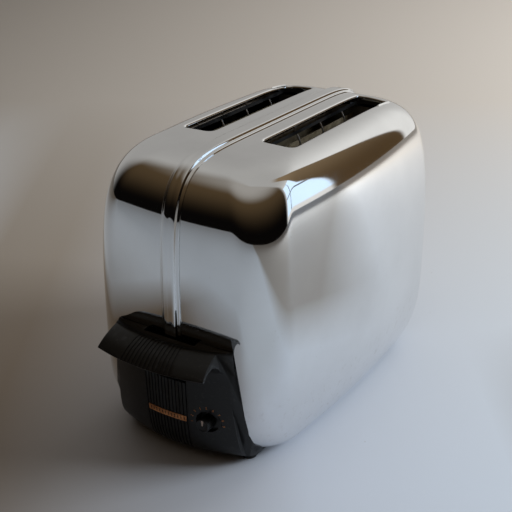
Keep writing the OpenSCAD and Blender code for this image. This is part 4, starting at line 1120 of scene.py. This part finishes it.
def node_maths(kind, a, b=0.0):
    node = room.nodes.new("ShaderNodeMath")
    node.operation = kind
    for value, socket in ((a, node.inputs[0]), (b, node.inputs[1])):
        if isinstance(value, (int, float)):
            socket.default_value = value
        else:
            room.links.new(value, socket)
    return node.outputs[0]


def step_at(value, a, b):
    """0 below a, 1 above b, smooth between."""
    share = room.nodes.new("ShaderNodeMapRange")
    share.interpolation_type = "SMOOTHSTEP"
    room.links.new(value, share.inputs[0])
    for k, v in enumerate((a, b, 0, 1)):
        share.inputs[k + 1].default_value = v
    return share.outputs[0]


def between(value, a, b, soft):
    return node_maths("MULTIPLY", step_at(value, a - soft, a + soft),
                      node_maths("SUBTRACT", 1.0, step_at(value, b - soft, b + soft)))


def room_mix(share, a, b):
    node = room.nodes.new("ShaderNodeMix")
    node.data_type = "RGBA"
    room.links.new(share, node.inputs[0])
    for value, socket in ((a, node.inputs[6]), (b, node.inputs[7])):
        if isinstance(value, tuple):
            socket.default_value = (*value, 1)
        else:
            room.links.new(value, socket)
    return node.outputs[2]


axes = room.nodes.new("ShaderNodeSeparateXYZ")
room.links.new(direction, axes.inputs[0])
heading = node_maths("MULTIPLY", node_maths("ARCTAN2", axes.outputs[0], axes.outputs[1]), 57.2958)
rise_ = axes.outputs[2]
front = node_maths("ADD", step_at(heading, 58, 66), step_at(node_maths("MULTIPLY", heading, -1.0), 62, 100))
dark = room_mix(step_at(rise_, 0.10, 0.85), (0.0025, 0.002, 0.0018), (0.080, 0.052, 0.026))
dark = room_mix(step_at(rise_, 0.72, 0.99), dark, (0.36, 0.34, 0.31))
wall = room_mix(step_at(heading, -40, 18), (0.36, 0.35, 0.335), (0.86, 0.85, 0.82))
wall = room_mix(step_at(rise_, 0.45, 0.9), wall, (0.42, 0.41, 0.39))
wall = room_mix(front, wall, dark)
cupboard = node_maths("MULTIPLY", between(heading, 22, 39, 0.6), between(rise_, -0.05, 0.90, 0.04))
wall = room_mix(cupboard, wall, room_mix(step_at(rise_, 0.05, 0.85), (0.085, 0.052, 0.024), (0.24, 0.17, 0.10)))
pane = node_maths("MULTIPLY", between(heading, 39, 60, 0.5), between(rise_, 0.03, 0.66, 0.015))
bars = node_maths("ADD", between(heading, 48.5, 49.6, 0.2), between(rise_, 0.3, 0.33, 0.005))
wall = room_mix(pane, wall, room_mix(bars, (0.9, 1.15, 1.45), (0.16, 0.17, 0.18)))
room.links.new(wall, background.inputs["Color"])
background.inputs["Strength"].default_value = 1.0


def lamp(name, at, target, size, power, colour=(1, 1, 1)):
    data = bpy.data.lights.new(name, "AREA")
    data.shape = "RECTANGLE"
    data.size, data.size_y = size
    data.energy = power
    data.color = colour
    obj = bpy.data.objects.new(name, data)
    scene.collection.objects.link(obj)
    obj.location = at
    obj.rotation_euler = (Vector(target) - Vector(at)).to_track_quat("-Z", "Y").to_euler()
    return obj


for light in (lamp("window", (1.55, 1.05, 1.05), (0, 0, 0.1), (1.0, 0.9), 32, (0.88, 0.95, 1)),
              lamp("back_fill", (0.4, 1.9, 1.7), (0, 0, 0.1), (1.6, 1.0), 9, (1.0, 0.98, 0.95))):
    light.visible_glossy = False
